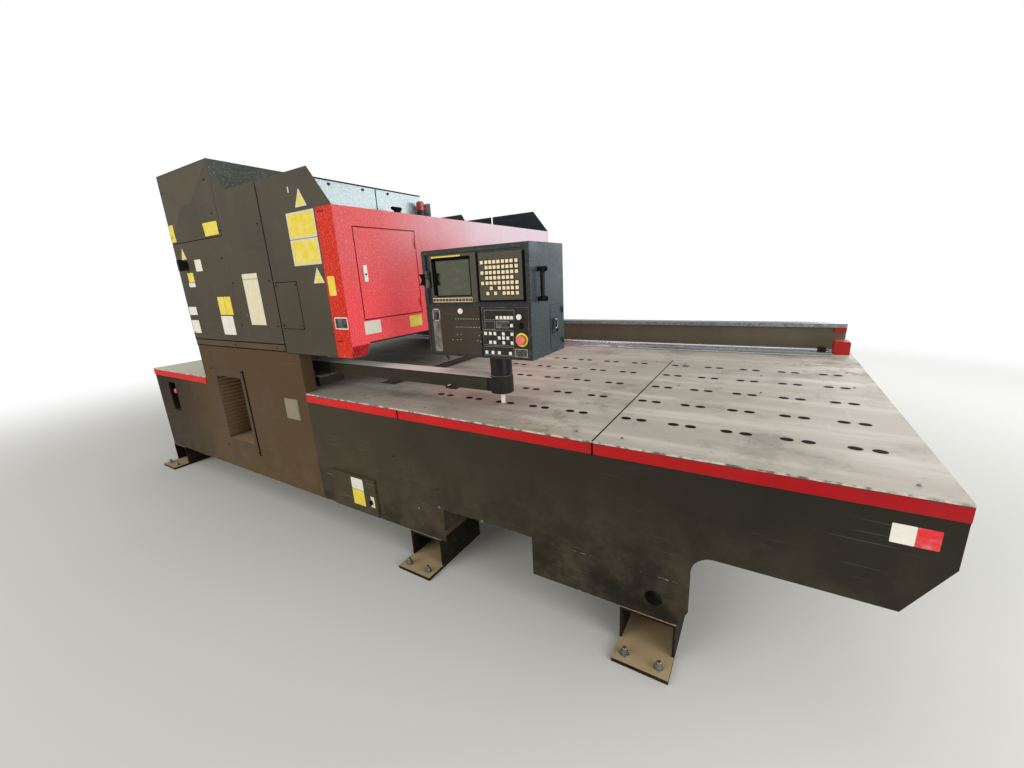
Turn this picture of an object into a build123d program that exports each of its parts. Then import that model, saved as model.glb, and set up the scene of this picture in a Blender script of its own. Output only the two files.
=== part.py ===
from build123d import *
import math
import os

# Laser cutting machine with a fixed bridge, a sheet-feeding carriage and a swing-arm pendant.
# Millimetres. +X runs right along the operator's front, +Y to the rear, +Z up.
# The origin is on the floor under the middle of the machine.

# Overall sizes
LENGTH = 5400.0
BODY_DEPTH = 2510.0
SKIRT_BOTTOM = 180.0
TABLE_TOP = 935.0

# Widths of the blocks, from the left end of the machine
LEFT_TABLE = 1009.0
RESONATOR_WIDTH = 738.0
MID_WIDTH = 488.0
BRIDGE_WIDTH = 657.0
INNER_MODULE_START = 289.0
MODULE_LENGTH = 1117.0

# Heights of the tower above the floor
LEDGE_BOTTOM = 1203.0
LEDGE_TOP = 1247.0
BRIDGE_BOTTOM = 1196.0
BRIDGE_TOP = 2007.0
MID_TOP = 2212.0
PRESSED_BOTTOM = 1956.0
RESONATOR_TOP = 2417.0

# Sheet metal, plate and clearances
SHEET = 3.0
PANEL_SEAM = 5.0
PRESSED_RIM = 10.0
PRESSED_RISE = 12.0
PRESSED_SLOPE = 0.4
KNOB_SIDES = 24
DRUM_SIDES = 32
TUBE_SIDES = 16
BARREL_SIDES = 12
TABLE_PLATE = 8.0
SEAT = 0.3
RUNNING = 0.05
DOOR_GAP = 0.8

# Stations along X
X_LEFT = -LENGTH / 2
X_RIGHT = LENGTH / 2
X_TOWER = X_LEFT + LEFT_TABLE
X_MID = X_TOWER + RESONATOR_WIDTH
X_SEAM = X_MID + MID_WIDTH
X_FACE = X_SEAM + BRIDGE_WIDTH
X_INNER = X_FACE + INNER_MODULE_START
X_OUTER = X_INNER + MODULE_LENGTH
COLUMN_LIP = 122.0
X_LIP = X_SEAM + COLUMN_LIP

# Stations along Y
Y_FRONT = -BODY_DEPTH / 2
Y_REAR = BODY_DEPTH / 2
TABLE_DEPTH = 1673.0
FIRST_STRIP = 85.0
SECOND_STRIP = 190.0
Y_TABLE = Y_FRONT + TABLE_DEPTH

# Bed and feet
BED_TUBE = 120.0
FRONT_RAIL_SETBACK = 235.0
LEG_SIZE = 160.0
LEG_SETBACK = 60.0
FOOT_WIDTH = 232.0
FOOT_LENGTH = 360.0
FOOT_TOE = 120.0
FOOT_BASE = 18.0
FOOT_TOP = 12.0
FOOT_WEB = 10.0
BOLT_SPACING = 142.0
BOLT_FROM_TOE = 43.0
BOLT_HOLE_R = 11.0
LEFT_FOOT_INSET = 116.0
TOWER_FOOT = 690.0
MID_FOOT = 393.0
RIGHT_FOOT = 1648.0

# Front skirt
SKIRT_SETBACK = 5.0
STRIP_HEIGHT = 52.0
STRIP_DEPTH = 20.0
STRIP_GAP = 2.0
NOTCH_START = 547.0
NOTCH_WIDTH = 552.0
NOTCH_TOP = 385.0
LEG_WIDTH = 706.0
LEG_CHAMFER_X = 39.0
LEG_CHAMFER_Z = 83.0
ARCH_TOP = 533.0
ARCH_RADIUS = 80.0
ARCH_WIDTH = 599.0
END_CHAMFER_Z = 721.0
LEG_HOLE_R = 36.0
LEG_HOLE_Z = 275.0
LEG_HOLE_INSET = 135.0

# Small door in the front skirt
SKIRT_DOOR_WIDTH = 414.0
SKIRT_DOOR_HEIGHT = 250.0
SKIRT_DOOR_Z = 190.0
SKIRT_DOOR_OFFSET = -395.0
SKIRT_DOOR_PROUD = 14.0
DOOR_OVERLAP = 12.0

# Vent recess in the lower left front
VENT_X = 182.0
VENT_WIDTH = 374.0
VENT_Z = 440.0
VENT_HEIGHT = 526.0
VENT_FRAME_SIDE = 46.0
VENT_FRAME_TOP = 64.0
VENT_DEPTH = 205.0
LOUVRE_COUNT = 18
LOUVRE_DEPTH = 22.0
VENT_SHEET = 2.0
FILTER_DEPTH = 14.0

# Left stop button in its pocket
POCKET_X = 230.0
POCKET_WIDTH = 140.0
POCKET_Z = 560.0
POCKET_HEIGHT = 265.0
POCKET_DEPTH = 51.0

# Table slots
SLOT_PITCH = 209.0
SLOT_SPACING = 70.0
SLOT_LENGTH = 44.0
SLOT_WIDTH = 14.0
SLOT_ROWS = 5
ROW_PITCH = 296.0
ROW_START = 320.0
SLOT_START = 46.0
PAIRS_PER_MODULE = 5
BRUSH_RIM = 5.0
BRUSH_HEIGHT = 12.0

# Bridge beam, Y axis and cutting head
BEAM_WIDTH = 260.0
BEAM_TOP = 1900.0
BEAM_WALL = 15.0
BEAM_INSET = 25.0
RAIL_WIDTH = 34.0
RAIL_HEIGHT = 30.0
Y_RAIL_LOW = 1450.0
Y_RAIL_HIGH = 1800.0
SCREW_R = 16.0
Y_HEAD = -200.0
HEAD_TRAVEL_FRONT = 630.0
HEAD_TRAVEL_REAR = 580.0
CARRIAGE_LENGTH = 260.0
NOZZLE_GAP = 28.0
Z_TRAVEL_UP = 90.0
HEAD_OFFSET = 170.0
GRATE_WIDTH = 150.0
GRATE_SLOT = 44.0

# X axis at the rear
X_RAIL_FRONT = 830.0
X_RAIL_REAR = 1000.0
X_SCREW_Y = 888.0
X_CARRIAGE_LENGTH = 1100.0
X_CARRIAGE_CENTRE = -450.0
CARRIAGE_TOP = 1120.0
CLAMP_WIDTH = 80.0
CLAMP_INSET = 150.0
END_STOP_INSET = 18.0
END_STOP_LENGTH = 92.0

# Control arm and pendant
ARM_PIVOT_X = -495.0
ARM_PIVOT_SETBACK = 259.0
ARM_WIDTH = 114.0
ARM_BOTTOM = 1030.0
ARM_HEIGHT = 72.0
ARM_REACH = 1504.0
SLEEVE_R = 59.0
POST_R = 56.0
SPIGOT_R = 30.0
PENDANT_WIDTH = 636.0
PENDANT_DEPTH = 357.0
PENDANT_BOTTOM = 1209.0
PENDANT_HEIGHT = 539.0
POST_FROM_LEFT = 406.0
POST_FROM_FACE = 75.0

Y_ARM = Y_FRONT + ARM_PIVOT_SETBACK
X_POST = ARM_PIVOT_X + ARM_REACH
PEND_X0 = X_POST - POST_FROM_LEFT
PEND_X1 = PEND_X0 + PENDANT_WIDTH
PEND_Y0 = Y_ARM - POST_FROM_FACE
PEND_Y1 = PEND_Y0 + PENDANT_DEPTH
PEND_TOP = PENDANT_BOTTOM + PENDANT_HEIGHT

# Values shared by several parts
Z_STRIP = TABLE_TOP - TABLE_PLATE - STRIP_HEIGHT
Z_UNDER = TABLE_TOP - TABLE_PLATE
Y_SKIRT = Y_FRONT + SKIRT_SETBACK
COLUMN_FACE_DEPTH = 445.0
COLUMN_RIGHT = -700.0
COLUMN_LEFT = X_TOWER + 41.0
Y_COLUMN = Y_FRONT + COLUMN_FACE_DEPTH
BEAM_X0 = X_SEAM + BEAM_INSET
BEAM_X1 = BEAM_X0 + BEAM_WIDTH
X_HEAD = BEAM_X1 + HEAD_OFFSET
RING_TOP = BRIDGE_BOTTOM + 200.0


def box(x0, x1, y0, y1, z0, z1):
    """Solid block between two opposite corners."""
    centre = Pos((x0 + x1) / 2, (y0 + y1) / 2, (z0 + z1) / 2)
    return centre * Box(x1 - x0, y1 - y0, z1 - z0)


def plate_front(outline, y0, thickness):
    """Sheet parallel to the machine front, from an outline of (x, z) points."""
    wire = Polyline(*[(x, y0, z) for x, z in outline], close=True)
    return extrude(make_face(wire), amount=thickness, dir=(0, 1, 0))


def prism_x(outline, x0, length):
    """Bar along X, from a section of (y, z) points."""
    wire = Polyline(*[(x0, y, z) for y, z in outline], close=True)
    return extrude(make_face(wire), amount=length, dir=(1, 0, 0))


def prism_y(outline, y0, length):
    """Bar along Y, from a section of (x, z) points."""
    return plate_front(outline, y0, length)


def rod_x(x0, x1, y, z, radius):
    """Round bar along X."""
    return Pos((x0 + x1) / 2, y, z) * Rot(0, 90, 0) * Cylinder(radius, x1 - x0)


def rod_y(y0, y1, x, z, radius):
    """Round bar along Y."""
    return Pos(x, (y0 + y1) / 2, z) * Rot(90, 0, 0) * Cylinder(radius, y1 - y0)


def rod_z(z0, z1, x, y, radius):
    """Round bar along Z."""
    return Pos(x, y, (z0 + z1) / 2) * Cylinder(radius, z1 - z0)


def many_sided_y(y0, y1, x, z, radius, sides):
    """Many-sided bar along Y, for a form that nothing runs in."""
    return Pos(x, y1, z) * Rot(90, 0, 0) * extrude(RegularPolygon(radius, sides), amount=y1 - y0)


def many_sided_z(z0, z1, x, y, radius, sides):
    """Many-sided bar along Z, for a form that nothing runs in."""
    return Pos(x, y, z0) * extrude(RegularPolygon(radius, sides), amount=z1 - z0)


def taper_down(z0, z1, x, y, low_r, high_r, sides):
    """Many-sided tapered plug that narrows downwards."""
    slope = math.degrees(math.atan((high_r - low_r) / (z1 - z0)))
    plug = extrude(RegularPolygon(high_r, sides), amount=z1 - z0, taper=slope)
    return Pos(x, y, z1) * Rot(180, 0, 0) * plug


def group(solids):
    """Several separate solids kept together under one name."""
    flat = [solid for part in solids for solid in part.solids()]
    return Compound(children=flat)


# Feet: the front and rear rows share their X stations
def foot_stations():
    """X centre of each foot, and how far its toe stands out from the machine."""
    return [
        (X_LEFT + LEFT_FOOT_INSET, FOOT_TOE),
        (X_TOWER + TOWER_FOOT, -LEG_SETBACK - LEG_SIZE),
        (X_FACE + MID_FOOT, FOOT_TOE),
        (X_FACE + RIGHT_FOOT, FOOT_TOE),
    ]


def foot(x, toe, front):
    """Welded foot: base plate, two webs and a top plate under the bed leg."""
    side = -1 if front else 1
    edge = Y_FRONT if front else Y_REAR
    inner = edge - side * FOOT_LENGTH
    if toe < 0:
        inner = inner - side * LEG_SIZE
    toe_y = edge + side * toe
    web_y = edge + side * min(toe, 0)
    x0, x1 = x - FOOT_WIDTH / 2, x + FOOT_WIDTH / 2
    ends = sorted([toe_y, inner])
    webs = sorted([web_y, inner])
    under_top = SKIRT_BOTTOM - FOOT_TOP
    solid = box(x0, x1, ends[0], ends[1], 0, FOOT_BASE)
    solid += box(x0, x1, webs[0], webs[1], under_top, SKIRT_BOTTOM)
    for left in (x0, x1 - FOOT_WEB):
        solid += box(left, left + FOOT_WEB, webs[0], webs[1], FOOT_BASE, under_top)
    if toe > 0:
        hole_y = toe_y - side * BOLT_FROM_TOE
        for hole_x in (x - BOLT_SPACING / 2, x + BOLT_SPACING / 2):
            solid -= rod_z(-1, FOOT_BASE + 1, hole_x, hole_y, BOLT_HOLE_R)
    return solid


def foot_plinths():
    """All eight feet."""
    return group([foot(x, toe, front) for x, toe in foot_stations() for front in (True, False)])


def bed_rail_rows():
    """Y start of each long bed tube."""
    return [
        Y_FRONT + FRONT_RAIL_SETBACK,
        Y_TABLE - BED_TUBE / 2,
        Y_REAR - FRONT_RAIL_SETBACK + BED_TUBE / 2,
    ]


def bed_frame():
    """Welded bed: long tubes under the table, cross tubes and legs on the feet."""
    rail_x0 = X_LEFT + SHEET + SEAT
    rail_x1 = X_RIGHT - SHEET - SEAT
    rail_z0 = Z_UNDER - BED_TUBE
    cross_z0 = rail_z0 - BED_TUBE
    y0 = Y_FRONT + LEG_SETBACK
    y1 = Y_REAR - LEG_SETBACK
    frame = box(rail_x0, rail_x1, *span(bed_rail_rows()[0], BED_TUBE), rail_z0, Z_UNDER)
    for row in bed_rail_rows()[1:]:
        frame += box(rail_x0, rail_x1, *span(row, BED_TUBE), rail_z0, Z_UNDER)
    for x, toe in foot_stations():
        frame += box(*span(x - BED_TUBE / 2, BED_TUBE), y0, y1, cross_z0, rail_z0)
        inset = LEG_SIZE if toe < 0 else 0
        for leg_y in (y0 + inset, y1 - inset - LEG_SIZE):
            frame += box(x - LEG_SIZE / 2, x + LEG_SIZE / 2, leg_y, leg_y + LEG_SIZE, SKIRT_BOTTOM, cross_z0)
    for x in (X_RIGHT - 400,):
        frame += box(*span(x, BED_TUBE), y0, y1, cross_z0, rail_z0)
    return frame


def span(start, length):
    """Start and end of a stretch."""
    return start, start + length


# Skirts and front panels
def front_skirt():
    """Right front skirt with the stepped cut-out, the leg and the arch."""
    notch_x0 = X_FACE + NOTCH_START
    notch_x1 = notch_x0 + NOTCH_WIDTH
    leg_x1 = notch_x1 + LEG_WIDTH
    arch_x1 = leg_x1 + ARCH_WIDTH
    x0 = X_LIP + STRIP_GAP
    outline = [
        (x0, SKIRT_BOTTOM),
        (notch_x0, SKIRT_BOTTOM),
        (notch_x0, NOTCH_TOP),
        (notch_x1, NOTCH_TOP),
        (notch_x1, SKIRT_BOTTOM),
        (leg_x1 - LEG_CHAMFER_X, SKIRT_BOTTOM),
        (leg_x1, SKIRT_BOTTOM + LEG_CHAMFER_Z),
        (leg_x1, ARCH_TOP),
        (arch_x1, ARCH_TOP),
        (X_RIGHT, END_CHAMFER_Z),
        (X_RIGHT, Z_STRIP),
        (x0, Z_STRIP),
    ]
    skirt = plate_front(outline, Y_SKIRT, SHEET)
    corner = [e for e in skirt.edges().filter_by(Axis.Y) if near(e.center(), leg_x1, ARCH_TOP)]
    skirt = fillet(corner, ARCH_RADIUS)
    hole_x = leg_x1 - LEG_HOLE_INSET
    skirt -= rod_y(Y_SKIRT - 1, Y_SKIRT + SHEET + 1, hole_x, LEG_HOLE_Z, LEG_HOLE_R)
    dx0, dx1, dz0, dz1 = skirt_door_box()
    inner = DOOR_OVERLAP
    skirt -= box(dx0 + inner, dx1 - inner, Y_SKIRT - 1, Y_SKIRT + SHEET + 1, dz0 + inner, dz1 - inner)
    x, y = skirt_hinge_axis()
    for z in skirt_hinge_heights():
        skirt += many_sided_z(z, z + KNUCKLE, x, y, HINGE_R, BARREL_SIDES)
        skirt += box(x - LEAF, x, Y_SKIRT - SHEET, Y_SKIRT, z, z + KNUCKLE)
    return skirt


def skirt_hinge_axis():
    """X and Y of the hinge axis of the skirt door."""
    return skirt_door_box()[0] - HINGE_R - SEAT, Y_SKIRT - HINGE_R - SEAT


def skirt_hinge_heights():
    """Bottom of each hinge of the skirt door."""
    return SKIRT_DOOR_Z + 25, SKIRT_DOOR_Z + SKIRT_DOOR_HEIGHT - 85


def near(point, x, z):
    """Whether a point lies on the vertical edge through (x, z)."""
    return abs(point.X - x) < 0.5 and abs(point.Z - z) < 0.5


def skirt_door_box():
    """X and Z limits of the small skirt door."""
    x0 = X_FACE + SKIRT_DOOR_OFFSET
    return x0, x0 + SKIRT_DOOR_WIDTH, SKIRT_DOOR_Z, SKIRT_DOOR_Z + SKIRT_DOOR_HEIGHT


def skirt_door():
    """Small access door: a shallow folded tray standing proud of the skirt."""
    x0, x1, z0, z1 = skirt_door_box()
    y0 = Y_SKIRT - SKIRT_DOOR_PROUD
    y1 = Y_SKIRT - SEAT
    door = box(x0, x1, y0, y1, z0, z1)
    door -= box(x0 + SHEET, x1 - SHEET, y0 + SHEET, y1 + 1, z0 + SHEET, z1 - SHEET)
    x, y = skirt_hinge_axis()
    for z in skirt_hinge_heights():
        low, high = z + KNUCKLE + SEAT, z + 2 * KNUCKLE
        door += many_sided_z(low, high, x, y, HINGE_R, BARREL_SIDES)
        door += box(x, x0 + SHEET, y - SHEET / 2, y + SHEET / 2, low, high)
    x_latch, z_latch = skirt_latch_place()
    door -= rod_y(y0 - 1, y0 + SHEET + 1, x_latch, z_latch, 7 + RUNNING)
    return door


def skirt_latch_place():
    """Centre of the quarter-turn latch on the skirt door."""
    x0, x1, z0, z1 = skirt_door_box()
    return x1 - 48, z0 + 95


def skirt_door_latch():
    """Quarter-turn latch: a winged knob, its shaft and the tongue behind the door."""
    x, z = skirt_latch_place()
    y_face = Y_SKIRT - SKIRT_DOOR_PROUD
    latch = rod_y(y_face - 8, y_face + SHEET + 8, x, z, 7)
    latch += many_sided_y(y_face - 6, y_face - SEAT, x, z, 16, KNOB_SIDES)
    latch += box(x - 5, x + 5, y_face - 16, y_face - 6, z - 15, z + 15)
    return latch


def left_front_panel():
    """L-shaped front panel: skirt of the left table and lower front of the column."""
    outline = [
        (X_LEFT, SKIRT_BOTTOM),
        (X_LIP, SKIRT_BOTTOM),
        (X_LIP, BRIDGE_BOTTOM - PANEL_SEAM),
        (X_SEAM, BRIDGE_BOTTOM - PANEL_SEAM),
        (X_SEAM, LEDGE_BOTTOM),
        (X_TOWER, LEDGE_BOTTOM),
        (X_TOWER, Z_STRIP),
        (X_LEFT, Z_STRIP),
    ]
    panel = plate_front(outline, Y_SKIRT, SHEET)
    lip_z0 = TABLE_TOP + SEAT
    panel += box(X_LIP - SHEET, X_LIP, Y_SKIRT, Y_SKIRT + LIP_DEPTH, lip_z0, BRIDGE_BOTTOM - PANEL_SEAM)
    vx0, vx1, vz0, vz1 = vent_opening()
    rim = VENT_SHEET + SEAT
    panel -= box(vx0 - LOUVRE_DEPTH - FILTER_DEPTH - rim, vx1 + rim, Y_SKIRT - 1, Y_SKIRT + SHEET + 1, vz0 - rim, vz1 + rim)
    px0, px1, pz0, pz1 = pocket_opening()
    panel -= box(px0, px1, Y_SKIRT - 1, Y_SKIRT + SHEET + 1, pz0, pz1)
    pocket = box(px0 - SHEET, px1 + SHEET, Y_SKIRT + SHEET, Y_SKIRT + POCKET_DEPTH, pz0 - SHEET, pz1 + SHEET)
    pocket -= box(px0, px1, Y_SKIRT, Y_SKIRT + POCKET_DEPTH - SHEET, pz0, pz1)
    x, z = pocket_button_place()
    pocket -= rod_y(Y_SKIRT, Y_SKIRT + POCKET_DEPTH + 1, x, z, BUTTON_STEM_R + RUNNING)
    return panel + pocket


def pocket_opening():
    """X and Z limits of the pocket for the left stop button."""
    x0 = X_LEFT + POCKET_X
    return x0, x0 + POCKET_WIDTH, POCKET_Z, POCKET_Z + POCKET_HEIGHT


def pocket_button_place():
    """Centre of the left stop button."""
    x0, x1, z0, z1 = pocket_opening()
    return (x0 + x1) / 2, z1 - 85


def mushroom_button(x, y_seat, z, head_r, reach):
    """Mushroom push button pointing to the front, with its stem through the panel."""
    button = many_sided_y(y_seat - reach - 18, y_seat - reach, x, z, head_r, DRUM_SIDES)
    button = chamfer(button.edges().group_by(Axis.Y)[0], 5)
    button += rod_y(y_seat - reach, y_seat + 24, x, z, BUTTON_STEM_R)
    return button


def left_stop_button():
    """Red mushroom button in the pocket of the left front panel."""
    x, z = pocket_button_place()
    return mushroom_button(x, Y_SKIRT + POCKET_DEPTH - SHEET, z, 24, 20)


def vent_opening():
    """X and Z limits of the vent mouth."""
    x0 = X_TOWER + VENT_X
    return x0, x0 + VENT_WIDTH, VENT_Z, VENT_Z + VENT_HEIGHT


def vent_grille():
    """Deep air inlet: a front frame, a box behind it, and louvre blades for its left wall."""
    x0, x1, z0, z1 = vent_opening()
    y0 = Y_SKIRT - SHEET - SEAT
    y_back = Y_SKIRT + VENT_DEPTH
    frame = box(
        x0 - VENT_FRAME_SIDE, x1 + VENT_FRAME_SIDE, y0, y0 + SHEET, z0 - VENT_FRAME_TOP, z1 + VENT_FRAME_TOP
    )
    grille = frame - box(x0, x1, y0 - 1, y0 + SHEET + 1, z0, z1)
    x_outer = x0 - LOUVRE_DEPTH
    x_filter = x_outer - FILTER_DEPTH
    grille += box(x_filter, x1 + VENT_SHEET, y0 + SHEET, y_back, z0 - VENT_SHEET, z0)
    grille += box(x_filter, x1 + VENT_SHEET, y0 + SHEET, y_back, z1, z1 + VENT_SHEET)
    grille += box(x1, x1 + VENT_SHEET, y0 + SHEET, y_back, z0, z1)
    grille += box(x_filter, x1, y_back - VENT_SHEET, y_back, z0, z1)
    grille += box(x_filter, x_filter + VENT_SHEET, y0 + SHEET, y_back, z0, z1)
    pitch = VENT_HEIGHT / LOUVRE_COUNT
    rise = LOUVRE_DEPTH * 0.8
    for index in range(LOUVRE_COUNT):
        z = z0 + index * pitch + (pitch - rise) / 2
        blade = [
            (x0, z + rise),
            (x0, z + rise - VENT_SHEET),
            (x_outer, z - VENT_SHEET),
            (x_outer, z),
        ]
        grille += prism_y(blade, y0 + SHEET, y_back - VENT_SHEET - y0 - SHEET)
    return grille


def rear_skirts():
    """Plain skirts: one along the rear and one at each end."""
    y_back = Y_REAR - SKIRT_SETBACK
    rear = plate_front(
        [(X_LEFT, SKIRT_BOTTOM), (X_RIGHT, SKIRT_BOTTOM), (X_RIGHT, Z_UNDER), (X_LEFT, Z_UNDER)],
        y_back - SHEET,
        SHEET,
    )
    y0 = Y_SKIRT + SHEET + SEAT
    y1 = y_back - SHEET - SEAT
    left = box(X_LEFT, X_LEFT + SHEET, y0, y1, SKIRT_BOTTOM, Z_UNDER)
    left -= box(X_LEFT - 1, X_LEFT + SHEET + 1, y0 - 1, Y_FRONT + STRIP_DEPTH + SEAT, Z_STRIP, Z_UNDER + 1)
    right = box(X_RIGHT - SHEET, X_RIGHT, y0, y1, END_CHAMFER_Z, Z_UNDER)
    right -= box(X_RIGHT - SHEET - 1, X_RIGHT + 1, y0 - 1, Y_FRONT + STRIP_DEPTH + SEAT, Z_STRIP, Z_UNDER + 1)
    return group([rear, left, right])


def strip_spans():
    """X limits of each edge strip along the front."""
    return [
        (X_LEFT, X_TOWER - STRIP_GAP),
        (X_LIP + STRIP_GAP, X_INNER - STRIP_GAP / 2),
        (X_INNER + STRIP_GAP / 2, X_OUTER - STRIP_GAP / 2),
        (X_OUTER + STRIP_GAP / 2, X_RIGHT),
    ]


def edge_strips():
    """Edge strips with eased corners under the lip of the table plates."""
    ease = 3.0
    section = [
        (Y_FRONT + ease, Z_STRIP),
        (Y_FRONT + STRIP_DEPTH, Z_STRIP),
        (Y_FRONT + STRIP_DEPTH, Z_UNDER),
        (Y_FRONT + ease, Z_UNDER),
        (Y_FRONT, Z_UNDER - ease),
        (Y_FRONT, Z_STRIP + ease),
    ]
    return group([prism_x(section, x0, x1 - x0) for x0, x1 in strip_spans()])


# Tables
def slot_centres(x0, pairs):
    """Slot centres of one table module."""
    return [
        (x0 + SLOT_START + pair * SLOT_PITCH + half * SLOT_SPACING, Y_FRONT + ROW_START + row * ROW_PITCH)
        for row in range(SLOT_ROWS)
        for pair in range(pairs)
        for half in (0, 1)
    ]


def slotted(plate, centres):
    """Plate with a slot at each centre."""
    punch = Box(SLOT_LENGTH, SLOT_WIDTH, TABLE_PLATE + 2)
    return plate - [Pos(x, y, Z_UNDER + TABLE_PLATE / 2) * punch for x, y in centres]


def table_modules():
    """The plain left table and the two slotted right tables."""
    half = STRIP_GAP / 2
    left = box(X_LEFT, X_TOWER - half, Y_FRONT, Y_TABLE - half, Z_UNDER, TABLE_TOP)
    inner = box(X_INNER + half, X_OUTER - half, Y_FRONT, Y_TABLE - half, Z_UNDER, TABLE_TOP)
    outer = box(X_OUTER + half, X_RIGHT, Y_FRONT, Y_TABLE - half, Z_UNDER, TABLE_TOP)
    return group([
        left,
        slotted(inner, slot_centres(X_INNER, PAIRS_PER_MODULE)),
        slotted(outer, slot_centres(X_OUTER, PAIRS_PER_MODULE)),
    ])


def brush_inserts():
    """Brush strips seated under the plate, one below each pair of slots that no tube crosses."""
    rim = BRUSH_RIM
    x1 = SLOT_SPACING + SLOT_LENGTH / 2 + rim
    block = box(-SLOT_LENGTH / 2 - rim, x1, -SLOT_WIDTH / 2 - rim, SLOT_WIDTH / 2 + rim, -BRUSH_HEIGHT, 0)
    rail = [span(row, BED_TUBE) for row in bed_rail_rows()]
    centres = slot_centres(X_INNER, PAIRS_PER_MODULE) + slot_centres(X_OUTER, PAIRS_PER_MODULE)
    clear = [(x, y) for x, y in centres[::2] if all(y < r0 - 20 or y > r1 + 20 for r0, r1 in rail)]
    return group([Pos(x, y, Z_UNDER) * block for x, y in clear])


def grate_box():
    """X and Y limits of the opening for the cutting grate."""
    x0 = X_HEAD - GRATE_WIDTH / 2
    return x0, x0 + GRATE_WIDTH, Y_HEAD - HEAD_TRAVEL_FRONT - 40, Y_TABLE - 20


def table_middle():
    """Table plate through the throat, cut round the column and the cutting grate."""
    half = STRIP_GAP / 2
    outline = [
        (X_LIP + STRIP_GAP, Y_FRONT),
        (X_INNER - half, Y_FRONT),
        (X_INNER - half, Y_TABLE - half),
        (X_TOWER + half, Y_TABLE - half),
        (X_TOWER + half, Y_COLUMN + STRIP_GAP),
        (COLUMN_RIGHT + STRIP_GAP, Y_COLUMN + STRIP_GAP),
        (COLUMN_RIGHT + STRIP_GAP, Y_SKIRT + SHEET + STRIP_GAP),
        (X_LIP + STRIP_GAP, Y_SKIRT + SHEET + STRIP_GAP),
    ]
    wire = Polyline(*[(x, y, Z_UNDER) for x, y in outline], close=True)
    plate = extrude(make_face(wire), amount=TABLE_PLATE, dir=(0, 0, 1))
    gx0, gx1, gy0, gy1 = grate_box()
    return plate - box(gx0, gx1, gy0, gy1, Z_UNDER - 1, TABLE_TOP + 1)


def cutting_grate():
    """Slotted wear plate under the nozzle, with the folded slag chute welded below it."""
    gx0, gx1, gy0, gy1 = grate_box()
    plate = box(gx0 + SEAT, gx1 - SEAT, gy0 + SEAT, gy1 - SEAT, Z_UNDER, TABLE_TOP - 1)
    slot_y1 = Y_HEAD + HEAD_TRAVEL_REAR + 20
    plate -= box(X_HEAD - GRATE_SLOT / 2, X_HEAD + GRATE_SLOT / 2, gy0 + 25, slot_y1, Z_UNDER - 1, TABLE_TOP)
    wall = SHEET
    mouth = GRATE_WIDTH / 2 - 12
    for side in (-1, 1):
        section = [
            (X_HEAD + side * mouth, Z_UNDER),
            (X_HEAD + side * (mouth + wall), Z_UNDER),
            (X_HEAD + side * (mouth - 28), CHUTE_BOTTOM),
            (X_HEAD + side * (mouth - 28 - wall), CHUTE_BOTTOM),
        ]
        plate += prism_y(section, CHUTE_Y0, CHUTE_Y1 - CHUTE_Y0)
    return plate


def rear_deck():
    """Rear deck: two wear strips behind the table and the flat bed of the feed axis."""
    y1 = Y_TABLE + FIRST_STRIP
    y2 = y1 + SECOND_STRIP
    raised = 2.0
    groove = 1.5
    section = [
        (Y_TABLE + STRIP_GAP / 2, Z_UNDER),
        (Y_REAR - SKIRT_SETBACK, Z_UNDER),
        (Y_REAR - SKIRT_SETBACK, TABLE_TOP),
        (y2, TABLE_TOP),
        (y2, TABLE_TOP - groove),
        (y2 - 3, TABLE_TOP - groove),
        (y2 - 3, TABLE_TOP + raised),
        (y1, TABLE_TOP + raised),
        (y1, TABLE_TOP),
        (Y_TABLE + STRIP_GAP / 2, TABLE_TOP),
    ]
    deck = prism_x(section, X_LEFT, LENGTH)
    cx0, cx1, cy0 = rear_column_box()
    return deck - box(cx0 - 1, cx1 + 1, cy0 - 1, Y_REAR + 1, Z_UNDER - 1, TABLE_TOP + 5)


def rear_column_box():
    """X limits and front of the rear column."""
    return COLUMN_LEFT, COLUMN_RIGHT, Y_REAR - REAR_COLUMN_DEPTH


REAR_COLUMN_DEPTH = 175.0
LIP_DEPTH = 80.0
BUTTON_STEM_R = 11.0
CHUTE_BOTTOM = 640.0
CHUTE_Y0 = Y_FRONT + FRONT_RAIL_SETBACK + BED_TUBE + 60
CHUTE_Y1 = Y_TABLE - BED_TUBE / 2 - 20
GUARD_DEPTH = 95.0
GUARD_TOP = 1128.0
GUARD_LID = 28.0
GUARD_END = 70.0


def guard_spans():
    """X limits of the rear guard on each side of the rear column."""
    cx0, cx1, cy0 = rear_column_box()
    return [(X_LEFT + 10, cx0 - 5), (cx1 + 5, X_RIGHT - 25)]


def rear_guard():
    """Folded trough along the rear that shields the feed axis."""
    y0 = Y_REAR - SKIRT_SETBACK - GUARD_DEPTH
    y1 = Y_REAR - SKIRT_SETBACK
    z1 = GUARD_TOP - GUARD_LID
    parts = []
    for x0, x1 in guard_spans():
        trough = box(x0, x1, y0, y1, TABLE_TOP, z1)
        trough -= box(x0 + SHEET, x1 - SHEET, y0 + SHEET, y1 - SHEET, TABLE_TOP + SHEET, z1 + 1)
        parts.append(trough)
    return group(parts)


def rear_guard_lid():
    """Lids of the rear trough: shallow channels that overhang to the front."""
    y0 = Y_REAR - SKIRT_SETBACK - GUARD_DEPTH - 18
    y1 = Y_REAR - SKIRT_SETBACK
    z0 = GUARD_TOP - GUARD_LID
    parts = []
    for x0, x1 in guard_spans():
        lid = box(x0, x1, y0, y1, z0, GUARD_TOP)
        lid -= box(x0 + SHEET, x1 - SHEET, y0 + SHEET, y1 - SHEET, z0 - 1, GUARD_TOP - SHEET)
        parts.append(lid)
    return group(parts)


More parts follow.
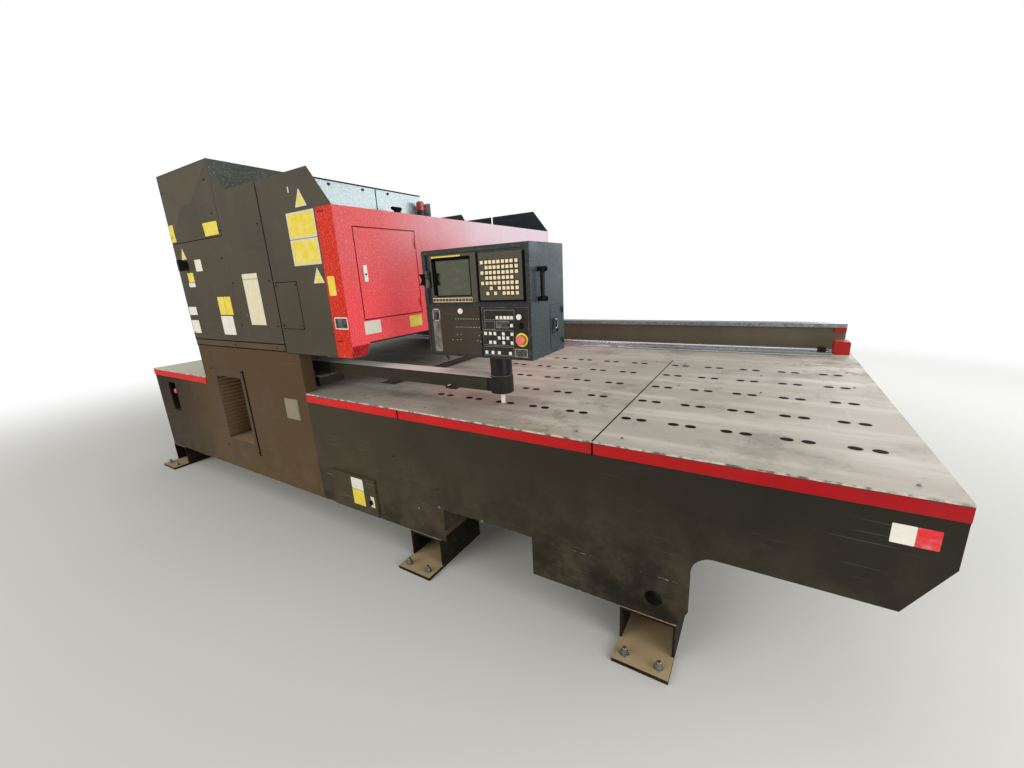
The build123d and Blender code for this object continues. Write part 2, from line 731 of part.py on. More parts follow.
def red_end_blocks():
    """Red bumpers: end stops of the feed axis and caps under the ends of the guard lid."""
    parts = []
    cap_y1 = Y_REAR - SKIRT_SETBACK - GUARD_DEPTH
    cap_z1 = GUARD_TOP - GUARD_LID
    for side in (-1, 1):
        outer = side * (X_RIGHT - END_STOP_INSET)
        inner = outer - side * END_STOP_LENGTH
        x0, x1 = sorted([inner, outer])
        stop = box(x0, x1, X_SCREW_Y + MOTOR_SIZE / 2 + 8, X_RAIL_REAR + 30, TABLE_TOP, TABLE_TOP + 94)
        stop = chamfer(stop.edges().filter_by(Axis.Y).group_by(Axis.Z)[-1], 8)
        parts.append(stop)
        cap_outer = guard_spans()[1][1] if side > 0 else guard_spans()[0][0]
        c0, c1 = sorted([cap_outer - side * GUARD_END, cap_outer])
        parts.append(box(c0, c1, cap_y1 - 16, cap_y1, cap_z1 - 34, cap_z1))
    return group(parts)


# Feed axis at the rear
def rail_section(y, z):
    """Section of a linear rail standing on z, as (y, z) points."""
    w, h = RAIL_WIDTH / 2, RAIL_HEIGHT
    return [
        (y - w, z), (y + w, z), (y + w, z + 8), (y + w - 6, z + 14),
        (y + w, z + 20), (y + w, z + h), (y - w, z + h), (y - w, z + 20),
        (y - w + 6, z + 14), (y - w, z + 8),
    ]


BEARING = 50.0
X_AXIS_END = X_RIGHT - END_STOP_INSET - END_STOP_LENGTH - 20
Y_AXIS_FRONT = Y_HEAD - HEAD_TRAVEL_FRONT - CARRIAGE_LENGTH / 2 - BEARING - 10
Y_AXIS_REAR = Y_HEAD + HEAD_TRAVEL_REAR + CARRIAGE_LENGTH / 2 + BEARING + 10


def linear_rails():
    """Two feed rails on the rear deck and two head rails on the side of the beam."""
    parts = [prism_x(rail_section(y, TABLE_TOP), -X_AXIS_END, 2 * X_AXIS_END) for y in (X_RAIL_FRONT, X_RAIL_REAR)]
    for z in (Y_RAIL_LOW, Y_RAIL_HIGH):
        section = [(BEAM_X1 + depth - TABLE_TOP, across) for across, depth in rail_section(z, TABLE_TOP)]
        parts.append(prism_y(section, Y_AXIS_FRONT, Y_AXIS_REAR - Y_AXIS_FRONT))
    return group(parts)


X_SCREW_Z = TABLE_TOP + 30.0


def x_ball_screw():
    """Feed screw with its bearing journals."""
    half = X_AXIS_END - 30
    screw = rod_x(-half + BEARING, half - BEARING, X_SCREW_Y, X_SCREW_Z, SCREW_R)
    journal = SCREW_R - 4
    screw += rod_x(-half, -half + BEARING, X_SCREW_Y, X_SCREW_Z, journal)
    screw += rod_x(half - BEARING, half, X_SCREW_Y, X_SCREW_Z, journal)
    return screw


Y_SCREW_X = BEAM_X1 + 34.0
Y_SCREW_Z = (Y_RAIL_LOW + Y_RAIL_HIGH) / 2


def y_ball_screw():
    """Head screw with its bearing journals."""
    y0 = Y_AXIS_FRONT
    y1 = Y_AXIS_REAR
    screw = rod_y(y0 + BEARING, y1 - BEARING, Y_SCREW_X, Y_SCREW_Z, SCREW_R)
    screw += rod_y(y0, y0 + BEARING, Y_SCREW_X, Y_SCREW_Z, SCREW_R - 4)
    screw += rod_y(y1 - BEARING, y1, Y_SCREW_X, Y_SCREW_Z, SCREW_R - 4)
    return screw


MOTOR_SIZE = 50.0
MOTOR_LENGTH = 150.0


def axis_motors():
    """Servo motors of both screws, each fused with its bearing block, and the far bearings."""
    half = X_AXIS_END - 30
    journal = SCREW_R - 4 + RUNNING
    z0 = TABLE_TOP
    z1 = TABLE_TOP + 58
    y0, y1 = X_SCREW_Y - MOTOR_SIZE / 2, X_SCREW_Y + MOTOR_SIZE / 2
    far = box(half - BEARING + SEAT, half - SEAT, y0, y1, z0, z1)
    far -= rod_x(half - BEARING, half, X_SCREW_Y, X_SCREW_Z, journal)
    x_motor = box(-half - MOTOR_LENGTH, -half + BEARING - SEAT, y0, y1, z0, z1)
    x_motor -= rod_x(-half - SEAT, -half + BEARING, X_SCREW_Y, X_SCREW_Z, journal)
    bx0, bx1 = BEAM_X1, Y_SCREW_X + MOTOR_SIZE / 2
    bz0, bz1 = Y_SCREW_Z - MOTOR_SIZE / 2, Y_SCREW_Z + MOTOR_SIZE / 2
    front = box(bx0, bx1, Y_AXIS_FRONT + SEAT, Y_AXIS_FRONT + BEARING - SEAT, bz0, bz1)
    front -= rod_y(Y_AXIS_FRONT, Y_AXIS_FRONT + BEARING, Y_SCREW_X, Y_SCREW_Z, journal)
    y_motor = box(bx0, bx1, Y_AXIS_REAR - BEARING + SEAT, Y_AXIS_REAR + MOTOR_LENGTH, bz0, bz1)
    y_motor -= rod_y(Y_AXIS_REAR - BEARING, Y_AXIS_REAR + SEAT, Y_SCREW_X, Y_SCREW_Z, journal)
    return group([far, x_motor, front, y_motor])


BLOCK_LENGTH = 90.0
BLOCK_SIDE = 15.0


def bearing_section(y, z_rail, top):
    """Section of a linear bearing block that straddles a rail, as (y, z) points."""
    w = RAIL_WIDTH / 2 + SEAT
    outer = RAIL_WIDTH / 2 + BLOCK_SIDE
    z0 = z_rail + 9
    z_cap = z_rail + RAIL_HEIGHT + SEAT
    return [(y - outer, z0), (y - w, z0), (y - w, z_cap), (y + w, z_cap), (y + w, z0), (y + outer, z0), (y + outer, top), (y - outer, top)]


CARRIAGE_UNDER = TABLE_TOP + 60.0
CLAMP_BEAM_Y = 700.0


def x_carriage():
    """Feed carriage: a cast beam on four bearing blocks, with the screw nut under it."""
    x0 = X_CARRIAGE_CENTRE - X_CARRIAGE_LENGTH / 2
    x1 = x0 + X_CARRIAGE_LENGTH
    y_back = X_RAIL_REAR + 55
    section = [
        (CLAMP_BEAM_Y, CARRIAGE_UNDER - 15),
        (CLAMP_BEAM_Y + 60, CARRIAGE_UNDER - 15),
        (CLAMP_BEAM_Y + 75, CARRIAGE_UNDER),
        (y_back, CARRIAGE_UNDER),
        (y_back, CARRIAGE_TOP - 25),
        (y_back - 25, CARRIAGE_TOP),
        (CLAMP_BEAM_Y + 60, CARRIAGE_TOP),
        (CLAMP_BEAM_Y, CARRIAGE_TOP - 35),
    ]
    carriage = prism_x(section, x0, X_CARRIAGE_LENGTH)
    for y in (X_RAIL_FRONT, X_RAIL_REAR):
        for start in (x0 + 40, x1 - 40 - BLOCK_LENGTH):
            carriage += prism_x(bearing_section(y, TABLE_TOP, CARRIAGE_UNDER), start, BLOCK_LENGTH)
    nut_x0 = X_CARRIAGE_CENTRE - 50
    nut = box(nut_x0, nut_x0 + 100, X_SCREW_Y - 28, X_SCREW_Y + 28, TABLE_TOP + 6, CARRIAGE_UNDER)
    carriage += nut
    return carriage - rod_x(nut_x0 - 1, nut_x0 + 101, X_SCREW_Y, X_SCREW_Z, SCREW_R + RUNNING)


def clamp_centres():
    """X centre of each work clamp."""
    reach = X_CARRIAGE_LENGTH / 2 - CLAMP_INSET
    return X_CARRIAGE_CENTRE - reach, X_CARRIAGE_CENTRE + reach


CLAMP_FLOOR = TABLE_TOP + 5.0
CLAMP_PIN_Z = TABLE_TOP + 66.0
CLAMP_PIN_Y = CLAMP_BEAM_Y - 60.0
PIN_R = 6.0
JAW_MOUTH = 10.0


def clamp_bodies():
    """Work clamp housings with a lower jaw lip, a slot for the lever and its pin."""
    front = CLAMP_BEAM_Y - 140
    section = [
        (front, CLAMP_FLOOR),
        (CLAMP_BEAM_Y, CLAMP_FLOOR),
        (CLAMP_BEAM_Y, CARRIAGE_TOP - 40),
        (CLAMP_BEAM_Y - 80, CARRIAGE_TOP - 60),
        (CLAMP_BEAM_Y - 100, TABLE_TOP + 60),
        (CLAMP_BEAM_Y - 100, CLAMP_FLOOR + 8),
        (front, CLAMP_FLOOR + 8),
    ]
    parts = []
    for x in clamp_centres():
        body = prism_x(section, x - CLAMP_WIDTH / 2, CLAMP_WIDTH)
        body -= box(x - 20, x + 20, front + 20, CLAMP_BEAM_Y - 18, CLAMP_FLOOR + 8, CARRIAGE_TOP)
        body += rod_x(x - 20, x + 20, CLAMP_PIN_Y, CLAMP_PIN_Z, PIN_R)
        parts.append(body)
    return group(parts)


def clamp_jaw(x):
    """Clamp lever with its upper jaw nose, bored for the pin."""
    front = CLAMP_BEAM_Y - 138
    bottom = CLAMP_FLOOR + 8 + JAW_MOUTH
    section = [
        (front, bottom),
        (front + 40, bottom),
        (CLAMP_BEAM_Y - 50, CLAMP_PIN_Z - 16),
        (CLAMP_BEAM_Y - 34, CLAMP_PIN_Z),
        (CLAMP_BEAM_Y - 34, CLAMP_PIN_Z + 14),
        (CLAMP_BEAM_Y - 84, CLAMP_PIN_Z + 16),
        (front, bottom + 14),
    ]
    lever = prism_x(section, x - 20 + SEAT, 40 - 2 * SEAT)
    return lever - rod_x(x - 21, x + 21, CLAMP_PIN_Y, CLAMP_PIN_Z, PIN_R + RUNNING)


# Tower and bridge
def tube_y(x0, x1, y0, y1, z0, z1, wall):
    """Rectangular tube along Y, open at its ends."""
    return box(x0, x1, y0, y1, z0, z1) - box(x0 + wall, x1 - wall, y0 - 1, y1 + 1, z0 + wall, z1 - wall)


def portal_frame():
    """Welded portal: two columns, the ring over the throat, the bridge beam and its top bulkhead."""
    y_back = Y_REAR - SKIRT_SETBACK - SHEET - SEAT
    front_y0 = Y_SKIRT + VENT_DEPTH + 25
    cx0, cx1, rear_y0 = rear_column_box()
    frame = box(cx0, cx1, front_y0, Y_COLUMN, Z_UNDER, BRIDGE_BOTTOM)
    frame += box(cx0, cx1, rear_y0, y_back, Z_UNDER, BRIDGE_BOTTOM)
    frame += box(cx1 - SHEET, cx1, Y_SKIRT + SHEET + SEAT, Y_COLUMN, TABLE_TOP, BRIDGE_BOTTOM)
    frame += box(cx0, BEAM_X1, front_y0, Y_COLUMN, BRIDGE_BOTTOM, RING_TOP)
    frame += box(cx0, BEAM_X1, rear_y0, y_back, BRIDGE_BOTTOM, RING_TOP)
    frame += box(cx0, cx0 + 200, Y_COLUMN, rear_y0, BRIDGE_BOTTOM, RING_TOP)
    frame += box(cx0, BEAM_X0, front_y0, y_back, RING_TOP, RING_TOP + TABLE_PLATE)
    frame += tube_y(BEAM_X0, BEAM_X1, Y_FRONT + 20, y_back, BRIDGE_BOTTOM, BEAM_TOP, BEAM_WALL)
    inner = X_FACE - SHEET - SEAT
    bulkhead = [
        (BEAM_X0, BEAM_TOP),
        (inner, BEAM_TOP),
        (inner, BRIDGE_TOP - 3),
        (inner - 30, BULKHEAD_TOP),
        (BEAM_X0, BULKHEAD_TOP),
    ]
    frame += plate_front(bulkhead, BULKHEAD_Y, 12)
    return frame


BULKHEAD_Y = -121.0
BULKHEAD_TOP = 2054.0
HALF_SEAM = PANEL_SEAM / 2


def ledge_band():
    """Narrow band between the lower and upper front panels."""
    return box(
        X_TOWER, X_SEAM - HALF_SEAM, Y_FRONT + 2, Y_FRONT + 14, LEDGE_BOTTOM + SEAT, LEDGE_TOP - 2
    )


def left_upper_panel():
    """Upper front panel below the pressed one."""
    panel = box(X_TOWER, X_MID - HALF_SEAM, Y_FRONT, Y_FRONT + SHEET, LEDGE_TOP, PRESSED_BOTTOM - PANEL_SEAM)
    x, z = isolator_place()
    return panel - rod_y(Y_FRONT - 1, Y_FRONT + SHEET + 1, x, z, ISOLATOR_STEM_R + RUNNING)


ISOLATOR_STEM_R = 8.0


def isolator_place():
    """Centre of the rotary isolator on the upper panel."""
    return X_TOWER + 138, PRESSED_BOTTOM - 160


def isolator_knob():
    """Rotary isolator handle: escutcheon disc, grip bar and shaft."""
    x, z = isolator_place()
    knob = many_sided_y(Y_FRONT - 20, Y_FRONT - SEAT, x, z, 36, DRUM_SIDES)
    grip = box(x - 12, x + 12, Y_FRONT - 52, Y_FRONT - 20, z - 40, z + 40)
    knob += chamfer(grip.edges().filter_by(Axis.Y), 5)
    knob += rod_y(Y_FRONT - SEAT, Y_FRONT + 40, x, z, ISOLATOR_STEM_R)
    return knob


def mid_front_panel():
    """Front panel between the resonator block and the bridge, with a stepped top."""
    outline = [
        (X_MID + HALF_SEAM, LEDGE_TOP),
        (X_SEAM - HALF_SEAM, LEDGE_TOP),
        (X_SEAM - HALF_SEAM, MID_TOP),
        (X_MID + 138, MID_TOP),
        (X_MID + 78, MID_TOP + 79),
        (X_MID + 24, MID_TOP + 79),
        (X_MID + HALF_SEAM, MID_TOP + 58),
    ]
    return plate_front(outline, Y_FRONT, SHEET)


def pressed_panel():
    """Top left panel, cross-broken to a low hipped ridge."""
    x0, x1 = X_TOWER, X_MID - HALF_SEAM
    z0, z1 = PRESSED_BOTTOM, RESONATOR_TOP
    back = Y_FRONT + SHEET
    rim = box(x0, x1, back - SHEET, back, z0, z1)
    left, right = x0 + PRESSED_RIM, x1 - PRESSED_RIM
    bottom, top = z0 + PRESSED_RIM, z1 - PRESSED_RIM
    front = back - SHEET
    crest = front - PRESSED_RISE
    gable = prism_x([(front, bottom), (crest, (bottom + top) / 2), (front, top)], left, right - left)
    slope = (right - left) * PRESSED_SLOPE
    plan = Polyline([(left, front), (left + slope, crest), (right - slope, crest), (right, front)], close=True)
    return rim + (gable & (Pos(0, 0, z0) * extrude(make_face(plan), amount=z1 - z0)))


def resonator_housing():
    """Sheet housing round the resonator: sides, back and roof."""
    y0 = Y_FRONT + SHEET + SEAT
    y1 = Y_FRONT + RESONATOR_DEPTH
    shell = box(X_TOWER, X_MID - HALF_SEAM, y0, y1, LEDGE_TOP, RESONATOR_TOP)
    shell -= box(
        X_TOWER + SHEET, X_MID - HALF_SEAM - SHEET, y0 - 1, y1 - SHEET, LEDGE_TOP - 1, RESONATOR_TOP - SHEET
    )
    shell -= box(COLUMN_LEFT - 1, X_MID, y0 - 1, y1 + 1, LEDGE_TOP - 1, RING_TOP + TABLE_PLATE + SEAT)
    return shell


RESONATOR_DEPTH = 1005.0


def laser_resonator():
    """Folded laser resonator: mirror blocks, four discharge tubes and the gas blower."""
    z0 = RING_TOP + TABLE_PLATE
    x0 = COLUMN_LEFT + 60
    x1 = x0 + 560
    y0 = Y_FRONT + VENT_DEPTH + 60
    y1 = Y_FRONT + RESONATOR_DEPTH - 40
    unit = box(x0, x1, y0, y1, z0, z0 + 40)
    for y in (y0, y1 - 80):
        unit += box(x0 + 20, x1 - 20, y, y + 80, z0 + 40, z0 + 520)
    for x in (x0 + 130, x1 - 130):
        for z in (z0 + 180, z0 + 400):
            unit += many_sided_y(y0 + 80, y1 - 80, x, z, 38, TUBE_SIDES)
    blower_x = (x0 + x1) / 2
    unit += many_sided_z(z0 + 40, z0 + 430, blower_x, (y0 + y1) / 2, 85, KNOB_SIDES)
    return unit


def bridge_front_plate():
    """Front end plate of the bridge with its sloping shoulder and the hatch opening."""
    y0 = Y_FRONT
    outline = [
        (X_SEAM + HALF_SEAM, BRIDGE_BOTTOM),
        (RETURN_X - SEAT, BRIDGE_BOTTOM),
        (RETURN_X - SEAT, BRIDGE_TOP + SEAT),
        (X_FACE, BRIDGE_TOP + SEAT),
        (SHOULDER_X, MID_TOP),
        (X_SEAM + HALF_SEAM, MID_TOP),
    ]
    plate = plate_front(outline, y0, SHEET)
    hx0, hx1, hz0, hz1 = hatch_box()
    return plate - box(hx0 + 20, hx1 - 20, y0 - 1, y0 + SHEET + 1, hz0 + 20, hz1 - 20)


RETURN_X = X_FACE - 139.0
SHOULDER_X = X_FACE - 158.0


def hatch_box():
    """X and Z limits of the screwed service hatch."""
    x0 = X_SEAM + 22
    return x0, x0 + 218, BRIDGE_BOTTOM + 158, BRIDGE_BOTTOM + 436


def service_hatch():
    """Screwed hatch plate with rounded corners."""
    x0, x1, z0, z1 = hatch_box()
    plate = box(x0, x1, Y_FRONT - 2, Y_FRONT, z0, z1)
    return fillet(plate.edges().filter_by(Axis.Y), 12)


SIDE_DOOR_Y0 = Y_FRONT + 113.0
SIDE_DOOR_Y1 = SIDE_DOOR_Y0 + 462.0
SIDE_DOOR_Z0 = 1401.0
SIDE_DOOR_Z1 = 1905.0
SIDE_BOTTOM = BRIDGE_BOTTOM + 75.0
NOSE_LENGTH = 105.0
NOSE_INSET = 12.0
HINGE_R = 5.0
KNUCKLE = 30.0
LEAF = 14.0


def red_side_cover():
    """Folded red cover: front return, long side face with the door opening, and the nose below."""
    y_end = Y_REAR - SHEET - SEAT
    cover = box(RETURN_X, X_FACE, Y_FRONT, Y_FRONT + SHEET, BRIDGE_BOTTOM, BRIDGE_TOP)
    cover += box(X_FACE - SHEET, X_FACE, Y_FRONT, y_end, SIDE_BOTTOM, BRIDGE_TOP)
    cover -= box(X_FACE - SHEET - 1, X_FACE + 1, SIDE_DOOR_Y0, SIDE_DOOR_Y1, SIDE_DOOR_Z0, SIDE_DOOR_Z1)
    nose_section = [
        (X_FACE, SIDE_BOTTOM),
        (X_FACE - NOSE_INSET, BRIDGE_BOTTOM),
        (X_FACE - NOSE_INSET - SHEET, BRIDGE_BOTTOM),
        (X_FACE - SHEET, SIDE_BOTTOM),
    ]
    nose = prism_y(nose_section, Y_FRONT + SHEET, NOSE_LENGTH + 22)
    y_tip = Y_FRONT + NOSE_LENGTH
    bevel = prism_x(
        [(y_tip, BRIDGE_BOTTOM - 1), (y_tip + 60, BRIDGE_BOTTOM - 1), (y_tip + 60, SIDE_BOTTOM), (y_tip + 22, SIDE_BOTTOM)],
        X_FACE - 40,
        60,
    )
    cover += nose - bevel
    corner = box(X_FACE - NOSE_INSET, X_FACE + 1, Y_FRONT - 1, Y_FRONT + SHEET + 1, BRIDGE_BOTTOM - 1, SIDE_BOTTOM)
    wedge = prism_y(
        [(X_FACE, SIDE_BOTTOM), (X_FACE + 1, BRIDGE_BOTTOM - 1), (X_FACE - NOSE_INSET, BRIDGE_BOTTOM - 1), (X_FACE - NOSE_INSET, BRIDGE_BOTTOM)],
        Y_FRONT - 1,
        SHEET + 2,
    )
    cover -= corner & wedge
    for z0 in hinge_heights():
        x, y = side_hinge_axis()
        cover += many_sided_z(z0, z0 + KNUCKLE, x, y, HINGE_R, BARREL_SIDES)
        cover += box(X_FACE, X_FACE + SHEET, y, y + LEAF, z0, z0 + KNUCKLE)
    return cover


def side_hinge_axis():
    """X and Y of the hinge axis of the side door."""
    return X_FACE + HINGE_R + SEAT, SIDE_DOOR_Y1 + HINGE_R + SEAT


def hinge_heights():
    """Bottom of each hinge of the side door."""
    return SIDE_DOOR_Z0 + 40, SIDE_DOOR_Z1 - 100


def side_door():
    """Hinged access door in the red cover, with its hinge knuckles."""
    y0, y1 = SIDE_DOOR_Y0 + DOOR_GAP, SIDE_DOOR_Y1 - DOOR_GAP
    z0, z1 = SIDE_DOOR_Z0 + DOOR_GAP, SIDE_DOOR_Z1 - DOOR_GAP
    door = box(X_FACE - SHEET, X_FACE, y0, y1, z0, z1)
    x, y = side_hinge_axis()
    for hinge in hinge_heights():
        low, high = hinge + KNUCKLE + SEAT, hinge + 2 * KNUCKLE
        door += many_sided_z(low, high, x, y, HINGE_R, BARREL_SIDES)
        door += box(X_FACE, X_FACE + SHEET, y1 - LEAF, y, low, high)
    pin_y, pin_z = side_handle_place()
    return door - rod_x(X_FACE - SHEET - 1, X_FACE + 1, pin_y, pin_z, PIN_R + RUNNING)


def side_handle_place():
    """Y and Z of the pin of the side door's lever."""
    return SIDE_DOOR_Y0 + 45, HANDLE_Z


def side_door_handle():
    """Flush lever handle of the side door, pivoted at its top."""
    y, z = side_handle_place()
    lever = box(X_FACE + SEAT, X_FACE + 7, y - 12, y + 12, z - 80, z + 12)
    lever = chamfer(lever.edges().filter_by(Axis.Y).group_by(Axis.X)[-1], 2)
    return lever + rod_x(X_FACE - SHEET - 4, X_FACE + SEAT, y, z, PIN_R)


HANDLE_Z = 1690.0


def top_covers():
    """Two bare sheet covers folded over the front shoulder of the bridge."""
    skin = 2.0
    section = [
        (X_SEAM + HALF_SEAM, MID_TOP),
        (SHOULDER_X, MID_TOP),
        (X_FACE, BRIDGE_TOP + SEAT),
        (X_FACE - 3, BRIDGE_TOP + SEAT),
        (SHOULDER_X - 1, MID_TOP - skin),
        (X_SEAM + HALF_SEAM, MID_TOP - skin),
    ]
    first = prism_y(section, Y_FRONT + SHEET, 310 - SHEET)
    second = prism_y(section, Y_FRONT + 312, 424)
    return group([first, second])


def rear_covers():
    """Plain covers behind: roof and back of the middle block, and the low rear housing."""
    x0, x1 = X_MID + HALF_SEAM, X_SEAM - HALF_SEAM
    y0, y1 = Y_FRONT + SHEET + SEAT, Y_FRONT + MID_BLOCK_DEPTH
    hx0, hx1 = X_TOWER, BEAM_X0 - SEAT
    hy0 = Y_FRONT + RESONATOR_DEPTH + SEAT
    hy1 = Y_REAR - SHEET - SEAT
    floor = RING_TOP + TABLE_PLATE + SEAT
    under = REAR_HOUSING_TOP - SHEET
    roof = box(x0, x1, y0, y1, MID_TOP - SHEET, MID_TOP)
    back = box(x0, x1, y1 - SHEET, y1, REAR_HOUSING_TOP, MID_TOP - SHEET)
    shelf = box(x0, hx1, y1 - SHEET, hy0, under, REAR_HOUSING_TOP)
    lid = box(hx0, hx1, hy0, hy1, under, REAR_HOUSING_TOP)
    front = box(hx0, hx1, hy0, hy0 + SHEET, floor, under)
    rear = box(hx0, hx1, hy1 - SHEET, hy1, floor, under)
    left = box(hx0, hx0 + SHEET, hy0 + SHEET, hy1 - SHEET, floor, under)
    right = box(hx1 - SHEET, hx1, hy0 + SHEET, hy1 - SHEET, floor, under)
    return group([roof, back, shelf, lid, front, rear, left, right])


REAR_HOUSING_TOP = 1800.0
MID_BLOCK_DEPTH = 736.0


def rear_end_plates():
    """Rear end plates: the bridge plate with its shoulder and the plain one beside it."""
    y0 = Y_REAR - SHEET
    bridge = [
        (X_SEAM + HALF_SEAM, BRIDGE_BOTTOM),
        (X_FACE, BRIDGE_BOTTOM),
        (X_FACE, BRIDGE_TOP),
        (SHOULDER_X, MID_TOP),
        (X_SEAM + HALF_SEAM, MID_TOP),
    ]
    beside = [
        (X_MID, LEDGE_TOP),
        (X_SEAM - HALF_SEAM * 6, LEDGE_TOP),
        (X_SEAM - HALF_SEAM * 6, MID_TOP),
        (X_MID, MID_TOP),
    ]
    return group([plate_front(bridge, y0, SHEET), plate_front(beside, y0, SHEET)])


# Head axis
PLATE_X = BEAM_X1 + RAIL_HEIGHT + 34.0
PLATE_THICK = 25.0


def y_carriage():
    """Head carriage: plate, four bearing blocks and the screw nut."""
    y0 = Y_HEAD - CARRIAGE_LENGTH / 2
    y1 = y0 + CARRIAGE_LENGTH
    carriage = box(PLATE_X, PLATE_X + PLATE_THICK, y0, y1, Y_RAIL_LOW - 50, Y_RAIL_HIGH + 50)
    for z in (Y_RAIL_LOW, Y_RAIL_HIGH):
        points = bearing_section(z, BEAM_X1, PLATE_X)
        section = [(x, across) for across, x in points]
        for start in (y0 + 5, y1 - 5 - BLOCK_LENGTH):
            carriage += prism_y(section, start, BLOCK_LENGTH)
    carriage += box(BEAM_X1 + 6, PLATE_X, Y_HEAD - 50, Y_HEAD + 50, Y_SCREW_Z - 28, Y_SCREW_Z + 28)
    carriage -= rod_y(Y_HEAD - 51, Y_HEAD + 51, Y_SCREW_X, Y_SCREW_Z, SCREW_R + RUNNING)
    for y in (Y_HEAD - 60, Y_HEAD + 60):
        carriage += box(PLATE_X + PLATE_THICK, PLATE_X + PLATE_THICK + 18, y - 10, y + 10, Y_RAIL_LOW - 40, Y_RAIL_HIGH + 40)
    return carriage


SLIDE_X = PLATE_X + PLATE_THICK + 4.0
HEAD_R = 46.0


def cutting_head():
    """Vertical slide with the cutting head barrel under it."""
    x0 = SLIDE_X
    slide = box(x0, x0 + 36, Y_HEAD - 85, Y_HEAD + 85, 1260, 1700)
    for y in (Y_HEAD - 60, Y_HEAD + 60):
        slide -= box(x0 - 1, x0 + 14 + SEAT, y - 10 - SEAT, y + 10 + SEAT, 1259, 1701)
    head = box(x0, X_HEAD + 50, Y_HEAD - 50, Y_HEAD + 50, 1130, 1260)
    head += many_sided_z(1060, 1130, X_HEAD, Y_HEAD, HEAD_R, KNOB_SIDES)
    cone = taper_down(NOZZLE_TOP, 1060, X_HEAD, Y_HEAD, 16, HEAD_R, KNOB_SIDES)
    return slide + head + cone


NOZZLE_TOP = TABLE_TOP + NOZZLE_GAP + 22.0


def nozzle():
    """Turned copper nozzle."""
    z0 = TABLE_TOP + NOZZLE_GAP
    collar = many_sided_z(NOZZLE_TOP - 8, NOZZLE_TOP, X_HEAD, Y_HEAD, 14, KNOB_SIDES)
    tip = taper_down(z0, NOZZLE_TOP - 8, X_HEAD, Y_HEAD, 4, 12, KNOB_SIDES)
    return collar + tip


# Status lamp
LAMP_X = X_FACE - 96.0
LAMP_Y = Y_FRONT + 775.0
LAMP_BASE = 50.0


def beacon_base():
    """Lamp socket on its bracket behind the top edge of the red cover."""
    inner = X_FACE - SHEET
    base = box(LAMP_X - 40, inner, LAMP_Y - 32, LAMP_Y + 32, BRIDGE_TOP - 12, BRIDGE_TOP - 6)
    base += many_sided_z(BRIDGE_TOP - 6, BRIDGE_TOP + LAMP_BASE, LAMP_X, LAMP_Y, 28, DRUM_SIDES)
    return base


def beacon_lens():
    """Red lamp lens with a rounded crown."""
    z0 = BRIDGE_TOP + LAMP_BASE
    lens = many_sided_z(z0, z0 + 56, LAMP_X, LAMP_Y, 26, DRUM_SIDES)
    return chamfer(lens.edges().group_by(Axis.Z)[-1], 7)


# Control arm and pendant
def arm_pivot():
    """Pivot block on the table with its bearing flange and pin."""
    block = box(ARM_PIVOT_X - 80, ARM_PIVOT_X + 80, Y_ARM - 98, Y_ARM + 98, TABLE_TOP, TABLE_TOP + 65)
    block = chamfer(block.edges().group_by(Axis.Z)[-1], 6)
    block += many_sided_z(TABLE_TOP + 65, ARM_BOTTOM - SEAT, ARM_PIVOT_X, Y_ARM, 55, DRUM_SIDES)
    block += rod_z(ARM_BOTTOM - SEAT, ARM_BOTTOM + ARM_HEIGHT - 12, ARM_PIVOT_X, Y_ARM, PIVOT_PIN_R)
    return block


PIVOT_PIN_R = 20.0


def swing_arm():
    """Box-section arm with an open left end, a bored pivot boss and the pendant sleeve."""
    z0, z1 = ARM_BOTTOM, ARM_BOTTOM + ARM_HEIGHT
    x0 = ARM_PIVOT_X - ARM_WIDTH / 2
    wall = 5.0
    arm = box(x0, X_POST, Y_ARM - ARM_WIDTH / 2, Y_ARM + ARM_WIDTH / 2, z0, z1)
    arm -= box(x0 - 1, X_POST - SLEEVE_R, Y_ARM - ARM_WIDTH / 2 + wall, Y_ARM + ARM_WIDTH / 2 - wall, z0 + wall, z1 - wall)
    arm += rod_z(z0, z1 - wall, ARM_PIVOT_X, Y_ARM, 38)
    arm -= rod_z(z0 - 1, z1 - wall, ARM_PIVOT_X, Y_ARM, PIVOT_PIN_R + RUNNING)
    arm += many_sided_z(z0 - 12, z1 + 8, X_POST, Y_ARM, SLEEVE_R, DRUM_SIDES)
    arm -= rod_z(z0 - 13, z1 + 9, X_POST, Y_ARM, SPIGOT_R + RUNNING)
    lug_x = X_POST - 340
    arm += box(lug_x, lug_x + 70, Y_ARM - ARM_WIDTH / 2, Y_ARM - ARM_WIDTH / 2 + 40, z0 - 14, z0)
    arm += many_sided_y(Y_ARM - ARM_WIDTH / 2 - 26, Y_ARM - ARM_WIDTH / 2, lug_x + 35, z0 + 4, 9, TUBE_SIDES)
    return arm


def pendant_post():
    """Swivelling post: drum, spigot through the sleeve and the bare tip below it."""
    z_drum = ARM_BOTTOM + ARM_HEIGHT + 8 + SEAT
    post = many_sided_z(z_drum, PENDANT_BOTTOM, X_POST, Y_ARM, POST_R, DRUM_SIDES)
    post += rod_z(ARM_BOTTOM - 14, z_drum, X_POST, Y_ARM, SPIGOT_R)
    post += many_sided_z(ARM_BOTTOM - 38, ARM_BOTTOM - 14, X_POST, Y_ARM, 12, TUBE_SIDES)
    return post


PEND_FRAME = 22.0
PEND_RECESS = 10.0
PEND_WALL = 5.0
PEND_SPLIT = PENDANT_BOTTOM + 261.0
DISPLAY_RIGHT = PEND_X0 + 335.0


